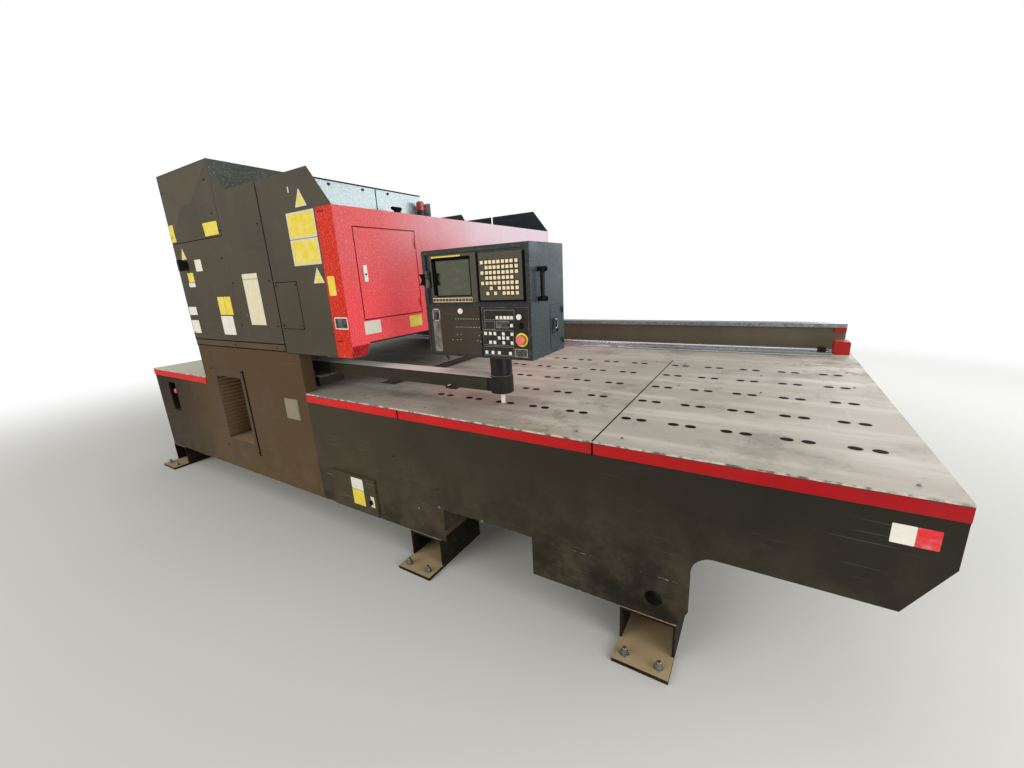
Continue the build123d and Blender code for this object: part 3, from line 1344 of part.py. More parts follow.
def pendant_housing():
    """Pendant case: folded box with a recessed upper front and side cut-out for the hatch."""
    case = box(PEND_X0, PEND_X1, PEND_Y0, PEND_Y1, PENDANT_BOTTOM, PEND_TOP)
    case = chamfer(case.edges().filter_by(Axis.X).group_by(Axis.Y)[0].group_by(Axis.Z)[-1], 8)
    case -= box(
        PEND_X0 + PEND_FRAME, PEND_X1 - PEND_FRAME, PEND_Y0 - 1, PEND_Y0 + PEND_RECESS, PEND_SPLIT + 6, PEND_TOP - PEND_FRAME
    )
    case -= box(
        PEND_X0 + 12, PEND_X1 - 8, PEND_Y0 - 1, PEND_Y0 + 6, PENDANT_BOTTOM + 6, PEND_SPLIT - 4
    )
    case -= box(
        PEND_X0 + PEND_WALL, PEND_X1 - PEND_WALL, PEND_Y0 + PEND_RECESS + PEND_WALL, PEND_Y1 - PEND_WALL,
        PENDANT_BOTTOM + PEND_WALL, PEND_TOP - PEND_WALL
    )
    y0, y1, z0, z1 = side_hatch_box()
    case -= box(PEND_X1 - PEND_WALL - 1, PEND_X1 + 1, y0, y1, z0, z1)
    x, y = hatch_hinge_axis()
    for z in hatch_hinge_heights():
        case += many_sided_z(z, z + KNUCKLE / 2, x, y, HINGE_R, BARREL_SIDES)
        case += box(PEND_X1, PEND_X1 + SHEET, y, y + LEAF, z, z + KNUCKLE / 2)
    for x, z, r in switch_places():
        case -= box(x - r - 4, x + r + 4, PEND_Y0, PEND_Y0 + 60, z - r - 4, z + r + 4)
    return case


STOP_PLACE = (PEND_X1 - 57.0, PENDANT_BOTTOM + 98.0)
SELECTOR_PLACE = (PEND_X1 - 62.0, PENDANT_BOTTOM + 165.0)
START_PLACE = (PEND_X1 - 64.0, PENDANT_BOTTOM + 206.0)


def switch_places():
    """X, Z and shaft radius of each device on the lower front."""
    return [(*STOP_PLACE, BUTTON_STEM_R), (*SELECTOR_PLACE, 7.0), (*START_PLACE, 7.0)]


def front_bezels():
    """Display frame and keyboard plate in the recessed upper front."""
    y1 = PEND_Y0 + PEND_RECESS
    dx0, dx1 = PEND_X0 + PEND_FRAME + 30, DISPLAY_RIGHT - 8
    z0, z1 = PEND_SPLIT + 14, PEND_TOP - PEND_FRAME - 4
    display = box(dx0, dx1, y1 - 8, y1, z0, z1)
    sx0, sx1, sz0, sz1 = screen_box()
    display -= box(sx0, sx1, y1 - 9, y1 - 2, sz0, sz1)
    keys = 12
    pitch = (sx1 - sx0) / keys
    for index in range(keys):
        x = sx0 + pitch * index + 3
        display += box(x, x + pitch - 6, y1 - 10, y1 - 8, z0 + 8, z0 + 19)
    plate = box(DISPLAY_RIGHT + 22, PEND_X1 - PEND_FRAME - 12, y1 - 8, y1, z0, z1 - 8)
    return group([display, plate])


def screen_box():
    """X and Z limits of the screen."""
    x0 = PEND_X0 + 86
    return x0, x0 + 217, PEND_SPLIT + 48, PEND_TOP - 43


def screen_glass():
    """Screen glass in the display frame."""
    x0, x1, z0, z1 = screen_box()
    y1 = PEND_Y0 + PEND_RECESS - 2
    return box(x0 + SEAT, x1 - SEAT, y1 - 3, y1, z0 + SEAT, z1 - SEAT)


KEY_COLUMNS = (0, 26, 48, 71, 94, 119, 142, 165, 191)
KEY_PITCH_Z = 24.0
KEY_SIZE = 16.0


def key_mat():
    """Moulded key caps of the keyboard, seated on the keyboard plate."""
    y1 = PEND_Y0 + PEND_RECESS - 8
    x0 = DISPLAY_RIGHT + 42
    z_top = PEND_TOP - 78
    keys = []
    for row in range(7):
        for column, offset in enumerate(KEY_COLUMNS):
            blank = (row in (1, 3) and column == 0) or (row == 3 and column == 8)
            staggered = row >= 5 and column < 5
            if blank or (staggered and (column + row) % 2 == 0) or (row >= 5 and column == 0):
                continue
            x = x0 + offset
            z = z_top - row * KEY_PITCH_Z
            keys.append(box(x - KEY_SIZE / 2, x + KEY_SIZE / 2, y1 - 3, y1, z - 8, z + 8))
    return group(keys)


def switch_panel():
    """Lower front panel with its square push keys in relief."""
    y1 = PEND_Y0 + 6
    panel = box(PEND_X0 + 14, PEND_X1 - 10, y1 - 3, y1, PENDANT_BOTTOM + 8, PEND_SPLIT - 6)
    for x, z, r in switch_places():
        panel -= rod_y(y1 - 4, y1 + 1, x, z, r + RUNNING)
    x_panel = PEND_X0 + 352
    for row, (columns, z) in enumerate(PANEL_KEYS):
        for column in columns:
            x = x_panel + column * 22.0
            zc = PENDANT_BOTTOM + z
            panel += box(x - 6, x + 6, y1 - 6, y1 - 3, zc - 6, zc + 6)
    return panel


PANEL_KEYS = [
    ((3, 4, 5, 6, 7), 205.0),
    ((7,), 168.0),
    ((0, 1, 2, 4, 6), 130.0),
    ((3, 4, 5), 110.0),
    ((1, 2, 4, 6), 90.0),
    ((0, 2, 4, 7), 50.0),
]


def e_stop_button():
    """Pendant emergency stop button."""
    x, z = STOP_PLACE
    return mushroom_button(x, PEND_Y0 + 3, z, 22, 8)


def start_button():
    """Round push button of the pendant."""
    x, z = START_PLACE
    y = PEND_Y0 + 3
    cap = many_sided_y(y - 12, y - 4, x, z, 13, KNOB_SIDES)
    return cap + rod_y(y - 4, y + 20, x, z, 7)


def mode_selector():
    """Rotary selector of the pendant with its pointer grip."""
    x, z = SELECTOR_PLACE
    y = PEND_Y0 + 3
    knob = many_sided_y(y - 8, y - SEAT, x, z, 15, KNOB_SIDES)
    knob += box(x - 4, x + 4, y - 20, y - 8, z - 13, z + 13)
    return knob + rod_y(y - SEAT, y + 20, x, z, 7)


def side_handle():
    """Bent round-bar handle on the right side of the pendant."""
    y = PEND_Y0 + 80
    z0, z1 = PENDANT_BOTTOM + 283, PENDANT_BOTTOM + 418
    reach = 66.0
    x0 = PEND_X1 + SEAT
    near_turn, far_turn = 20.0, 6.0
    x1 = x0 + reach
    path = Polyline(
        (x0, y, z0), (x1 - near_turn, y, z0), (x1 - far_turn, y, z0 + far_turn), (x1, y, z0 + near_turn),
        (x1, y, z1 - near_turn), (x1 - far_turn, y, z1 - far_turn), (x1 - near_turn, y, z1), (x0, y, z1)
    )
    section = Plane(origin=(x0, y, z0), z_dir=(1, 0, 0)) * RegularPolygon(8, TUBE_SIDES)
    return sweep(section, path=path, transition=Transition.RIGHT)


def side_hatch_box():
    """Y and Z limits of the hatch on the side of the pendant."""
    return PEND_Y0 + 195, PEND_Y0 + 328, PENDANT_BOTTOM + 17, PENDANT_BOTTOM + 245


def hatch_hinge_axis():
    """X and Y of the hinge axis of the pendant's hatch."""
    return PEND_X1 + HINGE_R + SEAT, side_hatch_box()[1] + HINGE_R + SEAT


def hatch_hinge_heights():
    """Bottom of each hinge of the pendant's hatch."""
    y0, y1, z0, z1 = side_hatch_box()
    return z0 + 20, z1 - 50


def side_hatch():
    """Hinged hatch of the pendant with a finger pull."""
    y0, y1, z0, z1 = side_hatch_box()
    hatch = box(PEND_X1 - 4, PEND_X1, y0 + DOOR_GAP, y1 - DOOR_GAP, z0 + DOOR_GAP, z1 - DOOR_GAP)
    x, y = hatch_hinge_axis()
    for z in hatch_hinge_heights():
        low, high = z + KNUCKLE / 2 + SEAT, z + KNUCKLE
        hatch += many_sided_z(low, high, x, y, HINGE_R, BARREL_SIDES)
        hatch += box(PEND_X1, PEND_X1 + SHEET, y1 - LEAF, y, low, high)
    pull_z = (z0 + z1) / 2
    return hatch + box(PEND_X1, PEND_X1 + 12, y0 + 22, y0 + 34, pull_z - 10, pull_z + 45)


NODES = {
    "foot_plinths": foot_plinths,
    "bed_frame": bed_frame,
    "front_skirt": front_skirt,
    "skirt_door": skirt_door,
    "skirt_door_latch": skirt_door_latch,
    "left_front_panel": left_front_panel,
    "left_stop_button": left_stop_button,
    "vent_grille": vent_grille,
    "rear_skirts": rear_skirts,
    "edge_strips": edge_strips,
    "table_modules": table_modules,
    "table_middle": table_middle,
    "brush_inserts": brush_inserts,
    "cutting_grate": cutting_grate,
    "rear_deck": rear_deck,
    "rear_guard": rear_guard,
    "rear_guard_lid": rear_guard_lid,
    "red_end_blocks": red_end_blocks,
    "linear_rails": linear_rails,
    "x_ball_screw": x_ball_screw,
    "y_ball_screw": y_ball_screw,
    "axis_motors": axis_motors,
    "x_carriage": x_carriage,
    "clamp_bodies": clamp_bodies,
    "clamp_jaw_left": lambda: clamp_jaw(clamp_centres()[0]),
    "clamp_jaw_right": lambda: clamp_jaw(clamp_centres()[1]),
    "portal_frame": portal_frame,
    "ledge_band": ledge_band,
    "left_upper_panel": left_upper_panel,
    "isolator_knob": isolator_knob,
    "mid_front_panel": mid_front_panel,
    "pressed_panel": pressed_panel,
    "resonator_housing": resonator_housing,
    "laser_resonator": laser_resonator,
    "bridge_front_plate": bridge_front_plate,
    "service_hatch": service_hatch,
    "red_side_cover": red_side_cover,
    "side_door": side_door,
    "side_door_handle": side_door_handle,
    "top_covers": top_covers,
    "rear_covers": rear_covers,
    "rear_end_plates": rear_end_plates,
    "y_carriage": y_carriage,
    "cutting_head": cutting_head,
    "nozzle": nozzle,
    "beacon_base": beacon_base,
    "beacon_lens": beacon_lens,
    "arm_pivot": arm_pivot,
    "swing_arm": swing_arm,
    "pendant_post": pendant_post,
    "pendant_housing": pendant_housing,
    "front_bezels": front_bezels,
    "screen_glass": screen_glass,
    "key_mat": key_mat,
    "switch_panel": switch_panel,
    "e_stop_button": e_stop_button,
    "start_button": start_button,
    "mode_selector": mode_selector,
    "side_handle": side_handle,
    "side_hatch": side_hatch,
}

os.makedirs("parts", exist_ok=True)
for name, build in NODES.items():
    export_step(build(), f"parts/{name}.step")
print(len(NODES), "nodes written")
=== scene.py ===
import logging
import math
from contextlib import contextmanager
from dataclasses import dataclass, field
from enum import Enum
from typing import Callable, ClassVar, Dict, Iterable, Iterator, List, Optional, Sequence, Tuple, Union

import bmesh
import bpy
from mathutils import Matrix, Vector


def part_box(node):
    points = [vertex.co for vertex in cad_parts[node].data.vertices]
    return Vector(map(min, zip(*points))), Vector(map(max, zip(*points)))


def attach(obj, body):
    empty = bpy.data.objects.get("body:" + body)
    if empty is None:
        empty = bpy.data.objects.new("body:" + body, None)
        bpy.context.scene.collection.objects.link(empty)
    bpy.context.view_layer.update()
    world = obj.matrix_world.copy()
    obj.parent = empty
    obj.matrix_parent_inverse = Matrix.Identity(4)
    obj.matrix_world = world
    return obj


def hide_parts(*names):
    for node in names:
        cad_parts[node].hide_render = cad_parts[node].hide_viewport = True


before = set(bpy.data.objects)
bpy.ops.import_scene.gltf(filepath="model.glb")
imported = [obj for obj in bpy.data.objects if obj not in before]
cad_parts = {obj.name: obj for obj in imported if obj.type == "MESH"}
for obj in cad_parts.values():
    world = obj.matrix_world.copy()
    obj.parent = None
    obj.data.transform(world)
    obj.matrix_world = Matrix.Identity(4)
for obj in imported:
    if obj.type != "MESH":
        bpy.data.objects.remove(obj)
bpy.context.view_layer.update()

LOG = logging.getLogger("laser_cutter")

Rgb = Tuple[float, float, float]
Point = Tuple[float, float, float]
Piece = bpy.types.Object
Value = Union["Signal", float, int, Sequence[float]]
Test = Callable[[Vector, Vector], bool]
Span = Tuple[Tuple[float, float], Tuple[float, float]]
Crease = Callable[[float, float], float]

BLACK: Rgb = (0.0, 0.0, 0.0)
WHITE: Rgb = (1.0, 1.0, 1.0)


def paint(red: int, green: int, blue: int) -> Rgb:
    """Linear colour of a paint chip given as screen values from 0 to 255."""
    def linear(part: int) -> float:
        """One channel, from screen value to light."""
        share = part / 255
        return share / 12.92 if share <= 0.04045 else ((share + 0.055) / 1.055) ** 2.4
    return linear(red), linear(green), linear(blue)


def shades(colour: Rgb, low: float, high: float) -> Tuple[Rgb, Rgb]:
    """A darker and a lighter shade of a colour, as shares of it."""
    return tuple(part * low for part in colour), tuple(min(part * high, 1.0) for part in colour)


class Signal:
    """A shader socket that takes part in Python expressions."""

    def __init__(self, bench: "FinishBench", socket: bpy.types.NodeSocket) -> None:
        """Keeps the output socket and the bench that owns its nodes."""
        self.bench = bench
        self.socket = socket

    def _math(self, operation: str, *values: Value) -> "Signal":
        """One Math node on the given values."""
        return self.bench.node("ShaderNodeMath", {"operation": operation}, dict(enumerate(values)))

    def __add__(self, other: Value) -> "Signal":
        """Sum."""
        return self._math("ADD", self, other)

    __radd__ = __add__

    def __sub__(self, other: Value) -> "Signal":
        """Difference."""
        return self._math("SUBTRACT", self, other)

    def __rsub__(self, other: Value) -> "Signal":
        """Difference from a number on the left."""
        return self._math("SUBTRACT", other, self)

    def __mul__(self, other: Value) -> "Signal":
        """Product."""
        return self._math("MULTIPLY", self, other)

    __rmul__ = __mul__

    def __truediv__(self, other: Value) -> "Signal":
        """Quotient."""
        return self._math("DIVIDE", self, other)

    def __abs__(self) -> "Signal":
        """Size without sign."""
        return self._math("ABSOLUTE", self)

    def least(self, other: Value) -> "Signal":
        """The smaller of the two."""
        return self._math("MINIMUM", self, other)

    def most(self, other: Value) -> "Signal":
        """The larger of the two."""
        return self._math("MAXIMUM", self, other)

    def ramp(self, low: float, high: float, start: float = 0.0, end: float = 1.0) -> "Signal":
        """Smooth step between two levels.

        Args:
            low: Level at which the result is start.
            high: Level at which the result is end.
            start: Result at low.
            end: Result at high.

        Returns:
            The stepped signal.
        """
        return self.bench.node(
            "ShaderNodeMapRange",
            {"interpolation_type": "SMOOTHSTEP"},
            {"Value": self, "From Min": low, "From Max": high, "To Min": start, "To Max": end},
        )


class FinishBench:
    """Node workspace of one finish: it makes the nodes and closes the material."""

    def __init__(self, name: str) -> None:
        """Starts an empty material with its shader and output."""
        self.material = bpy.data.materials.new(name)
        self.material.use_nodes = True
        self.tree = self.material.node_tree
        self.tree.nodes.clear()
        self.shader = self.tree.nodes.new("ShaderNodeBsdfPrincipled")
        output = self.tree.nodes.new("ShaderNodeOutputMaterial")
        self.tree.links.new(self.shader.outputs[0], output.inputs[0])
        self._places: Optional[Signal] = None

    @staticmethod
    def _socket(sockets: bpy.types.bpy_prop_collection, key: Union[int, str]) -> bpy.types.NodeSocket:
        """Finds a socket by number, identifier or name."""
        if isinstance(key, int):
            return sockets[key]
        for socket in sockets:
            if socket.identifier == key:
                return socket
        return sockets[key]

    def node(
        self,
        kind: str,
        settings: Optional[Dict[str, object]] = None,
        inputs: Optional[Dict[Union[int, str], Value]] = None,
        output: Union[int, str] = 0,
    ) -> Signal:
        """Makes one node.

        Args:
            kind: The node's type.
            settings: Values of the node itself, set before any socket. The key stops fills a colour ramp.
            inputs: Numbers, colours or signals by socket.
            output: The socket that is returned.

        Returns:
            The chosen output.
        """
        made = self.tree.nodes.new(kind)
        for key, value in (settings or {}).items():
            if key == "stops":
                self._fill_ramp(made.color_ramp, value)
            else:
                setattr(made, key, value)
        for key, value in (inputs or {}).items():
            socket = self._socket(made.inputs, key)
            if isinstance(value, Signal):
                self.tree.links.new(value.socket, socket)
            else:
                socket.default_value = value
        return Signal(self, self._socket(made.outputs, output))

    @staticmethod
    def _fill_ramp(ramp: bpy.types.ColorRamp, stops: Sequence[Tuple[float, Rgb]]) -> None:
        """Sets the stops of a colour ramp."""
        while len(ramp.elements) < len(stops):
            ramp.elements.new(0.5)
        for element, (position, colour) in zip(ramp.elements, stops):
            element.position = position
            element.color = (*colour, 1)

    @property
    def places(self) -> Signal:
        """Object coordinates, in metres in the machine's own frame."""
        if self._places is None:
            self._places = self.node("ShaderNodeTexCoord", output="Object")
        return self._places

    def axes(self, vector: Signal) -> Tuple[Signal, Signal, Signal]:
        """The three parts of a vector."""
        first = self.node("ShaderNodeSeparateXYZ", inputs={0: vector})
        outputs = first.socket.node.outputs
        return first, Signal(self, outputs[1]), Signal(self, outputs[2])

    def stretched(self, scale: Point, shift: Point = (0.0, 0.0, 0.0)) -> Signal:
        """Object coordinates scaled along each axis."""
        inputs = {"Vector": self.places, "Scale": scale, "Location": shift}
        return self.node("ShaderNodeMapping", inputs=inputs)

    def cloud(self, scale: float, detail: float = 3.0, roughness: float = 0.55,
              vector: Optional[Signal] = None) -> Signal:
        """Noise from 0 to 1 at the given scale in metres."""
        inputs = {"Vector": vector or self.places, "Scale": scale, "Detail": detail, "Roughness": roughness}
        return self.node("ShaderNodeTexNoise", inputs=inputs)

    def cells(self, scale: float, vector: Optional[Signal] = None, output: str = "Distance") -> Signal:
        """Cell pattern at the given scale."""
        return self.node("ShaderNodeTexVoronoi", inputs={"Vector": vector or self.places, "Scale": scale},
                         output=output)

    def blend(self, first: Value, second: Value, share: Value) -> Signal:
        """Mixes two colours.

        Args:
            first: Colour at share 0, as a signal or three linear numbers.
            second: Colour at share 1.
            share: Mixing share.

        Returns:
            The mixed colour.
        """
        def four(value: Value) -> Value:
            """A colour with its alpha."""
            return value if isinstance(value, Signal) else (*value, 1)
        return self.node(
            "ShaderNodeMix",
            {"data_type": "RGBA"},
            {"Factor_Float": share, "A_Color": four(first), "B_Color": four(second)},
            "Result_Color",
        )

    def relief(self, height: Signal, depth: float, strength: float = 1.0) -> Signal:
        """Surface relief of the given depth in metres."""
        return self.node("ShaderNodeBump", inputs={"Height": height, "Distance": depth, "Strength": strength})

    def facing_up(self) -> Signal:
        """1 on surfaces that face up, 0 on the others."""
        normal = self.node("ShaderNodeNewGeometry", output="Normal")
        return self.axes(normal)[2].ramp(0.6, 0.95)

    def close(self, **values: Value) -> bpy.types.Material:
        """Puts colours, numbers and signals on the shader's sockets.

        Args:
            values: Socket names in lower case with underscores, and their values.

        Returns:
            The finished material.
        """
        for key, value in values.items():
            name = key.replace("_", " ").title().replace("Ior", "IOR")
            socket = self.shader.inputs[name]
            if isinstance(value, Signal):
                self.tree.links.new(value.socket, socket)
            elif socket.type == "RGBA":
                socket.default_value = (*value, 1)
            else:
                socket.default_value = value
        return self.material


class Axis(Enum):
    """Direction of an edge or a grain."""

    X = 0
    Y = 1
    Z = 2


@dataclass(frozen=True)
class WornAndLitEdge:
    """An edge along which the finish is chipped, as a plane square to one axis; where the under colour is
    pale the chipped band is a painted highlight.
    """

    axis: Axis
    place: float
    reach: float = 0.012


@dataclass(frozen=True)
class SheetPaint:
    """Powder-coated sheet: fine orange peel, handling marks, dust, and chips at the named edges.

    Other colours take over in places: far towards +X over far_span, on some sheets a real change of tone and
    on others partly painted shade; recess_light_and_shade behind recess_light_and_shade_from and left of
    recess_light_and_shade_right, painted light on some recessed faces and painted shade on others; and top on
    what faces up, pale dust together with painted light. On faces towards +X, side turns into side_far along
    side_span and high_span, into side_low_lit low down in front, and into hem_shade below hem_shade_top; on
    the red cover these are painted light and shade. facet_shading paints light and shade on each facet of a
    creased sheet, and low_shade paints shade low down.
    """

    name: str
    colour: Rgb
    under: Rgb = paint(150, 148, 142)
    dust: Rgb = paint(128, 112, 88)
    dust_share: float = 0.35
    dust_top: float = 0.9
    roughness: float = 0.46
    scuffs: float = 0.35
    shade: float = 0.16
    chips: float = 0.5
    edges: Tuple[WornAndLitEdge, ...] = ()
    specular: float = 0.16
    side: Optional[Rgb] = None
    side_far: Optional[Rgb] = None
    side_span: Tuple[float, float] = (0.0, 1.0)
    far: Optional[Rgb] = None
    far_span: Tuple[float, float] = (0.0, 1.0)
    side_low_lit: Optional[Rgb] = None
    recess_light_and_shade: Optional[Rgb] = None
    recess_light_and_shade_from: float = 0.0
    recess_light_and_shade_right: float = 100.0
    high_span: Tuple[float, float] = (0.0, 0.0)
    hem_shade: Optional[Rgb] = None
    hem_shade_top: float = 0.0
    top: Optional[Rgb] = None
    low_shade: float = 0.0
    facet_shading: float = 0.0
    speckle: float = 0.0

    def material(self) -> bpy.types.Material:
        """Builds the finish."""
        b = FinishBench(self.name)
        x, y, z = b.axes(b.places)
        patches = b.cloud(1.7, 4.0, 0.6)
        colour: Value = b.blend(self.colour, BLACK, patches.ramp(0.55, 0.3) * self.shade)
        if self.far:
            colour = b.blend(colour, self.far, x.ramp(*self.far_span))
        # On faces towards +X the side colours take over: on the red cover they are painted light and shade,
        # lit copies of its paint with a pale glare, a lighter low front and a darker flap below the crease.
        if self.side and self.side_far:
            along = (y + (patches - 0.5) * 0.6).ramp(*self.side_span)
            faces = b.axes(b.node("ShaderNodeNewGeometry", output="Normal"))[0].ramp(0.4, 0.8)
            if self.high_span[1]:
                along = along * z.ramp(*self.high_span)
            wall: Value = b.blend(self.side, self.side_far, along)
            if self.side_low_lit:
                wall = b.blend(wall, self.side_low_lit, z.ramp(1.8, 1.42) * y.ramp(0.4, -0.5))
            if self.hem_shade:
                wall = b.blend(wall, self.hem_shade, z.ramp(self.hem_shade_top + 0.003, self.hem_shade_top))
            colour = b.blend(colour, wall, faces)
        # Recessed faces take recess_light_and_shade: painted light on the vent's louvres, painted shade in
        # the left panel's recess.
        if self.recess_light_and_shade:
            behind = y.ramp(self.recess_light_and_shade_from, self.recess_light_and_shade_from + 0.003)
            left = x.ramp(self.recess_light_and_shade_right + 0.01, self.recess_light_and_shade_right)
            colour = b.blend(colour, self.recess_light_and_shade, behind * left)
        # Painted light and shade by the slope of each front facet: a facet leaning one way takes the dust
        # colour as painted light, one leaning the other way goes dark as painted shade.
        if self.facet_shading:
            lean_x, lean_y, lean_z = b.axes(b.node("ShaderNodeNewGeometry", output="Normal"))
            tone = (lean_z - lean_x) * lean_y.ramp(-0.9, -0.98) * 8.0
            colour = b.blend(colour, self.dust, tone.ramp(0.0, 0.8) * self.facet_shading * 3.0)
            colour = b.blend(colour, BLACK, tone.ramp(0.0, -0.8) * self.facet_shading * 2.0)
        colour = b.blend(colour, WHITE, patches.ramp(0.55, 0.8) * self.shade * 0.12)
        if self.speckle:
            grain = b.cloud(105.0, 3.0, 0.75)
            colour = b.blend(colour, WHITE, grain.ramp(0.5, 0.72) * self.speckle)
            colour = b.blend(colour, BLACK, grain.ramp(0.5, 0.3) * self.speckle)
        runs = b.cloud(1.0, 5.0, 0.65, b.stretched((9.0, 9.0, 0.8)))
        colour = b.blend(colour, BLACK, runs.ramp(0.5, 0.75) * self.shade * 0.6)
        grime = b.cloud(6.0, 6.0, 0.7)
        if self.low_shade:
            colour = b.blend(colour, BLACK, z.ramp(0.52, 0.22) * self.low_shade)
        # Upward faces take top: pale dust together with painted light from above.
        if self.top:
            colour = b.blend(colour, self.top, b.facing_up() * grime.ramp(0.2, 0.45, 0.8, 1.0))
        low = z.ramp(self.dust_top, 0.15) * grime.ramp(0.35, 0.7)
        settled = b.facing_up() * grime.ramp(0.3, 0.6)
        colour = b.blend(colour, self.dust, (low + settled * 0.8).least(1.0) * self.dust_share)
        strokes = b.cloud(1.0, 2.0, 0.5, b.stretched((3.0, 3.0, 160.0)))
        strokes = strokes.ramp(0.66, 0.72) * b.cloud(2.6, 2.0).ramp(0.5, 0.62)
        slants = b.cloud(1.0, 2.0, 0.5, b.node("ShaderNodeMapping", inputs={
            "Vector": b.places, "Rotation": (0.4, 0.9, 0.3), "Scale": (2.0, 2.0, 220.0)}))
        slants = slants.ramp(0.69, 0.73) * b.cloud(3.1, 2.0).ramp(0.52, 0.6)
        scuff = (strokes + slants).least(1.0) * self.scuffs
        colour = b.blend(colour, self.under, scuff * 0.3)
        # Chips show the under colour; where it is pale, as on the skirt door's top edge, they paint a
        # highlight.
        chipped = self._chips_and_highlights(b, (x, y, z))
        colour = b.blend(colour, self.under, chipped)
        rough = grime.ramp(0.3, 0.8, self.roughness - 0.07, self.roughness + 0.14)
        rough = (rough + scuff * 0.12).least(0.95)
        peel = b.cloud(420.0, 2.0) * 0.5 + b.cloud(95.0, 2.0) * 0.5 - chipped * 0.9
        return b.close(base_color=colour, roughness=rough, specular_ior_level=self.specular,
                       normal=b.relief(peel, 0.00035, 0.55))

    def _chips_and_highlights(self, b: FinishBench, axes: Sequence[Signal]) -> Value:
        """Mask of the chipped places near the worn edges; where the under colour is pale they are a painted
        highlight.
        """
        if not self.edges:
            return b.cloud(38.0, 3.0).ramp(0.74, 0.77) * 0.5
        ragged = b.cloud(55.0, 5.0, 0.7) + (b.cloud(7.0, 3.0) - 0.5) * 0.9
        found: Optional[Signal] = None
        for edge in self.edges:
            near = (1.0 - abs(axes[edge.axis.value] - edge.place) / edge.reach).most(0.0)
            found = near if found is None else found.most(near)
        return (ragged * found).ramp(0.62 - 0.3 * self.chips, 0.68 - 0.3 * self.chips)


@dataclass(frozen=True)
class BareSteel:
    """Uncoated steel with a drawn grain, handling marks and stains."""

    name: str
    colour: Rgb
    stain: Rgb = paint(96, 84, 68)
    stain_share: float = 0.3
    roughness: float = 0.34
    grain: Axis = Axis.X
    metallic: float = 0.9

    def material(self) -> bpy.types.Material:
        """Builds the finish."""
        b = FinishBench(self.name)
        along = [260.0, 260.0, 260.0]
        along[self.grain.value] = 3.5
        grain = b.cloud(1.0, 3.0, 0.6, b.stretched(tuple(along)))
        patches = b.cloud(9.0, 6.0, 0.65)
        tone = b.blend(*shades(self.colour, 0.84, 1.14), grain.ramp(0.3, 0.7))
        stain = patches.ramp(0.52, 0.72) * self.stain_share
        colour = b.blend(tone, self.stain, stain)
        rough = grain * 0.16 + (self.roughness - 0.08) + stain * 0.5
        return b.close(base_color=colour, roughness=rough.least(0.95), metallic=(1.0 - stain) * self.metallic,
                       normal=b.relief(grain, 0.0002, 0.35))


@dataclass(frozen=True)
class Galvanised:
    """Zinc-coated sheet with its crystal spangle and white rust."""

    name: str
    colour: Rgb
    spread: float = 0.2
    scale: float = 70.0
    roughness: float = 0.42
    metallic: float = 0.55

    def material(self) -> bpy.types.Material:
        """Builds the finish."""
        b = FinishBench(self.name)
        crystals = b.cells(self.scale, output="Color")
        level = b.axes(crystals)[0]
        fine = b.cloud(320.0, 2.0)
        wide = b.cloud(3.2, 5.0, 0.6)
        tone = (level * 0.6 + fine * 0.25 + wide * 0.45).ramp(0.3, 1.0)
        colour = b.blend(*shades(self.colour, 1 - self.spread, 1 + self.spread), tone)
        colour = b.blend(colour, paint(120, 112, 98), b.cloud(14.0, 6.0, 0.7).ramp(0.62, 0.78) * 0.4)
        return b.close(base_color=colour, roughness=tone * 0.2 + (self.roughness - 0.1),
                       metallic=self.metallic, normal=b.relief(level * 0.5 + fine * 0.5, 0.0002, 0.3))


